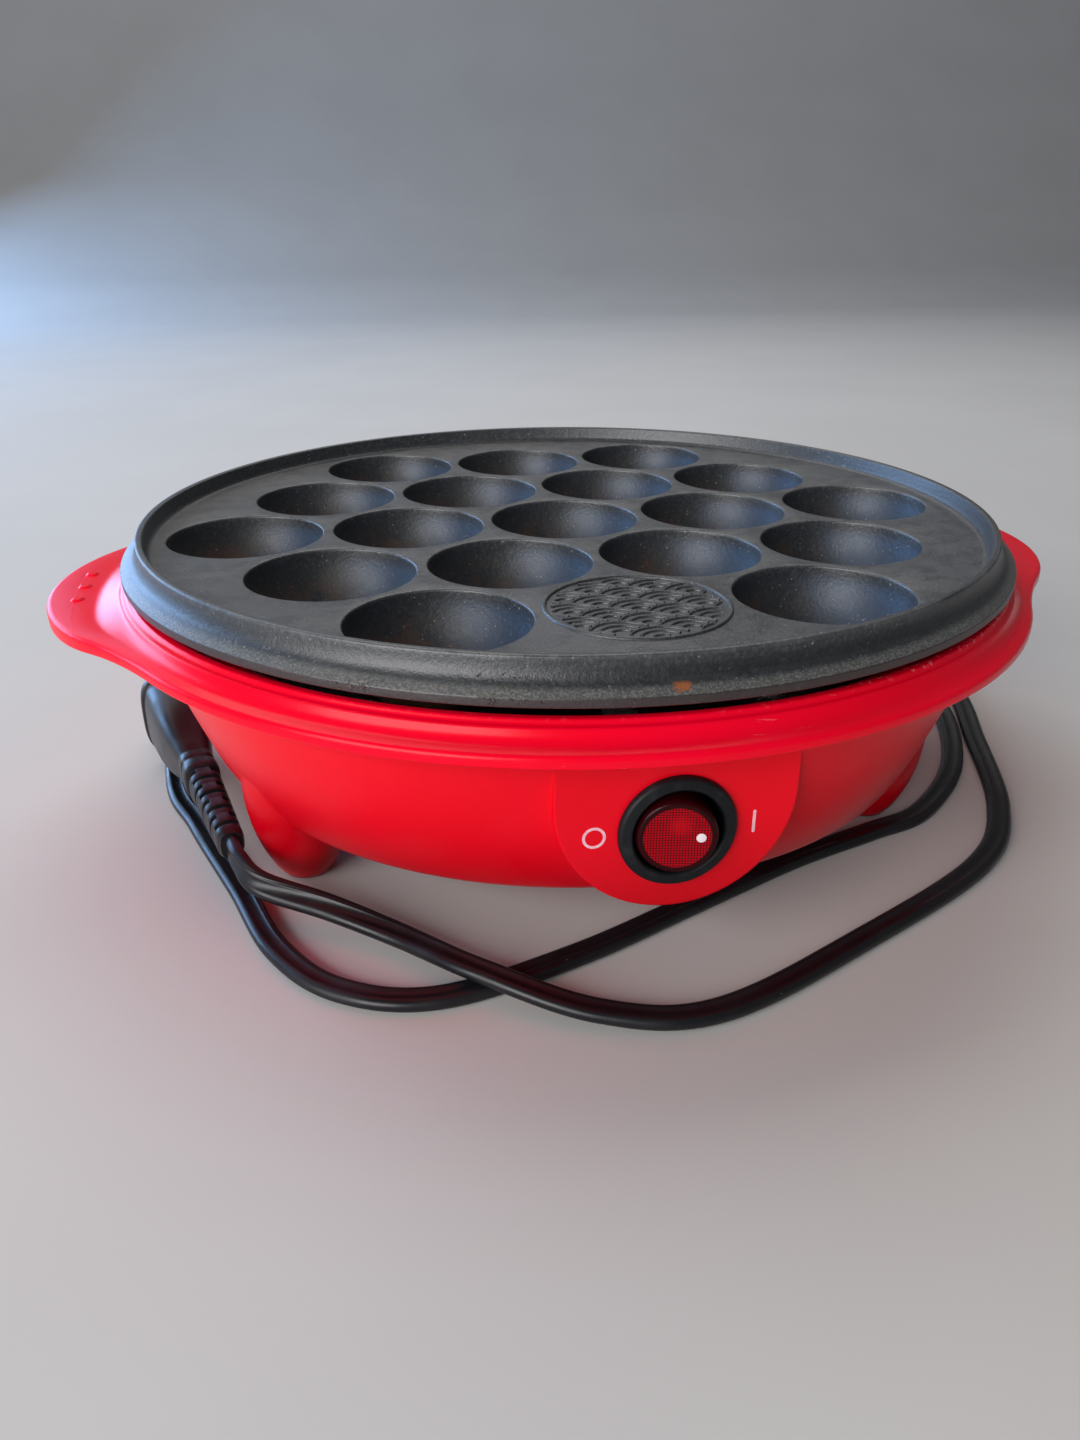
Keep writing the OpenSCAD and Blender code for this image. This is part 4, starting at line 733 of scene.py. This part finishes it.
inside = ((u * u + v * v) ** 0.5).over(LENS_R, 6.35) * w.over(3.6, 4.2)
bright = cell_u.over(0.44, 0.24) * cell_v.over(0.44, 0.24)
shade = lens_red.blend(inside * (0.08 + bright * 0.92), (0.022, 0.001, 0.002), (0.5, 0.0, 0.008))
# Painted highlight: a brighter red spot on the lens face, just above its centre.
painted_highlight = (((u - 0.6) ** 2 + (v - 2.6) ** 2) ** 0.5).over(3.2, 0.3) * inside
shade = lens_red.blend(painted_highlight * 0.45, shade, (0.62, 0.002, 0.010))
lens_red.put("Base Color", shade)
lens_red.put("Roughness", 0.2 + (1 - bright) * inside * 0.3)
lens_red.bump(bright * inside, 0.05, 0.6)
shape = Shape()
profile = rounded([
    (0, -3.4), (7.9, -3.4), (7.9, 4.05, 0.35), (7.45, 4.8, 0.45), (LENS_R, 4.78, 0.3), (0, 4.55),
], 5)
shape.lathe(profile, face_place, 128)
shape.lathe(rounded([(0, -9.6), (1, -9.6, 0.2), (1, 9.6, 0.2), (0, 9.6)]), hinge, 32)
shape.lathe([(0, 0), (1, 0), (1, 7.5), (0, 7.5)], hinge @ Matrix.Rotation(math.radians(-90), 4, "X"), 32)
shape.piece("rocker_lens", "rocker", lens_red, "rocker", 40)

white = Finish("dot_paint", base_color=(0.82, 0.72, 0.76), roughness=0.4)
thick = white.noise(0.5, 2).over(0.35, 0.7)
white.put("Base Color", white.blend(thick, (0.80, 0.70, 0.74), (0.86, 0.78, 0.8)))
DOT_R, DOT_TOP = 0.95, 4.82
shape = Shape()
dot = rounded([(0, DOT_TOP), (DOT_R, DOT_TOP, 0.04), (DOT_R, 4.6)], 3)
shape.lathe(dot, face_place @ Matrix.Translation((4.5, 0, -0.03)), 48)
shape.piece("rocker_dot", "rocker", white)

# ---- Switch marks ----
# Pale pink pad-printed marks on the panel: a plain ring at the off side and a plain bar at the on side.
paint = Finish("mark_paint", base_color=(0.86, 0.6, 0.66), roughness=0.5)
thick = paint.noise(0.8, 3).over(0.35, 0.7)
paint.put("Base Color", paint.blend(thick, (0.86, 0.46, 0.54), (0.9, 0.62, 0.68)))
STROKE, BAR_HALF, SUNK, PROUD = 0.3, 2.2, -0.1, 0.04
shape = Shape()
off = [(1.75, SUNK), (1.75, PROUD), (2.3, PROUD), (2.3, SUNK)]
shape.lathe(off, on_panel @ Matrix.Translation((-16.3, 0, 0)), 64)
bar = []
for i in range(24):
    t = math.tau * (i + 0.5) / 24
    bar.append((STROKE * math.cos(t), BAR_HALF * math.copysign(1, math.sin(t)) + STROKE * math.sin(t)))
shape.grid([[on_panel @ Vector((x + 15.5, z, h)) for x, z in bar] for h in (SUNK, PROUD)], caps=True)
shape.piece("switch_marks", "base", paint)

# ---- Studio ----
# Pale seamless paper, curved up behind, under a broad overhead softbox, with cool window light from
# behind on the left and daylight from the front left.
table = Finish("table_paper", base_color=(0.56, 0.545, 0.52), roughness=0.8)
mottle = table.noise(120, 3).over(0.3, 0.7)
table.put("Base Color", table.blend(mottle, (0.555, 0.54, 0.515), (0.575, 0.56, 0.535)))
sweep_line = [(-3.0, 0), (1.4, 0), (1.75, 0.04), (2.05, 0.2), (2.25, 0.5), (2.3, 0.9), (2.3, 3)]
studio = bpy.data.meshes.new("studio")
studio.from_pydata([(x, y, z) for x in (-4, 4) for y, z in sweep_line], [],
                   [(i, i + 7, i + 8, i + 1) for i in range(6)])
studio.polygons.foreach_set("use_smooth", [True] * 6)
studio.materials.append(table.material)
paper = bpy.data.objects.new("studio_paper", studio)
bpy.context.collection.objects.link(paper)


def softbox(name, place, aim, width, height, power, colour):
    data = bpy.data.lights.new(name, "AREA")
    data.shape, data.size, data.size_y = "RECTANGLE", width, height
    data.energy, data.color = power, colour
    lamp = bpy.data.objects.new(name, data)
    lamp.location = place
    lamp.rotation_euler = (Vector(aim) - Vector(place)).to_track_quat("-Z", "Y").to_euler()
    bpy.context.collection.objects.link(lamp)


softbox("overhead", (-0.1, 0.7, 1.2), (0, 0, 0.05), 1.4, 0.9, 10, (1.0, 0.97, 0.94))
softbox("window", (-1.25, 1.3, 0.42), (0, 0, 0.06), 1.4, 0.75, 26, (0.34, 0.58, 1.0))
softbox("daylight", (-1.1, -1.0, 0.6), (0, 0, 0.05), 1.2, 0.9, 26, (0.97, 0.965, 0.98))
world = bpy.data.worlds.new("studio_air")
world.use_nodes = True
world.node_tree.nodes["Background"].inputs["Color"].default_value = (0.9, 0.93, 1.0, 1)
world.node_tree.nodes["Background"].inputs["Strength"].default_value = 0.15
bpy.context.scene.world = world
bpy.context.scene.view_settings.view_transform = "Standard"
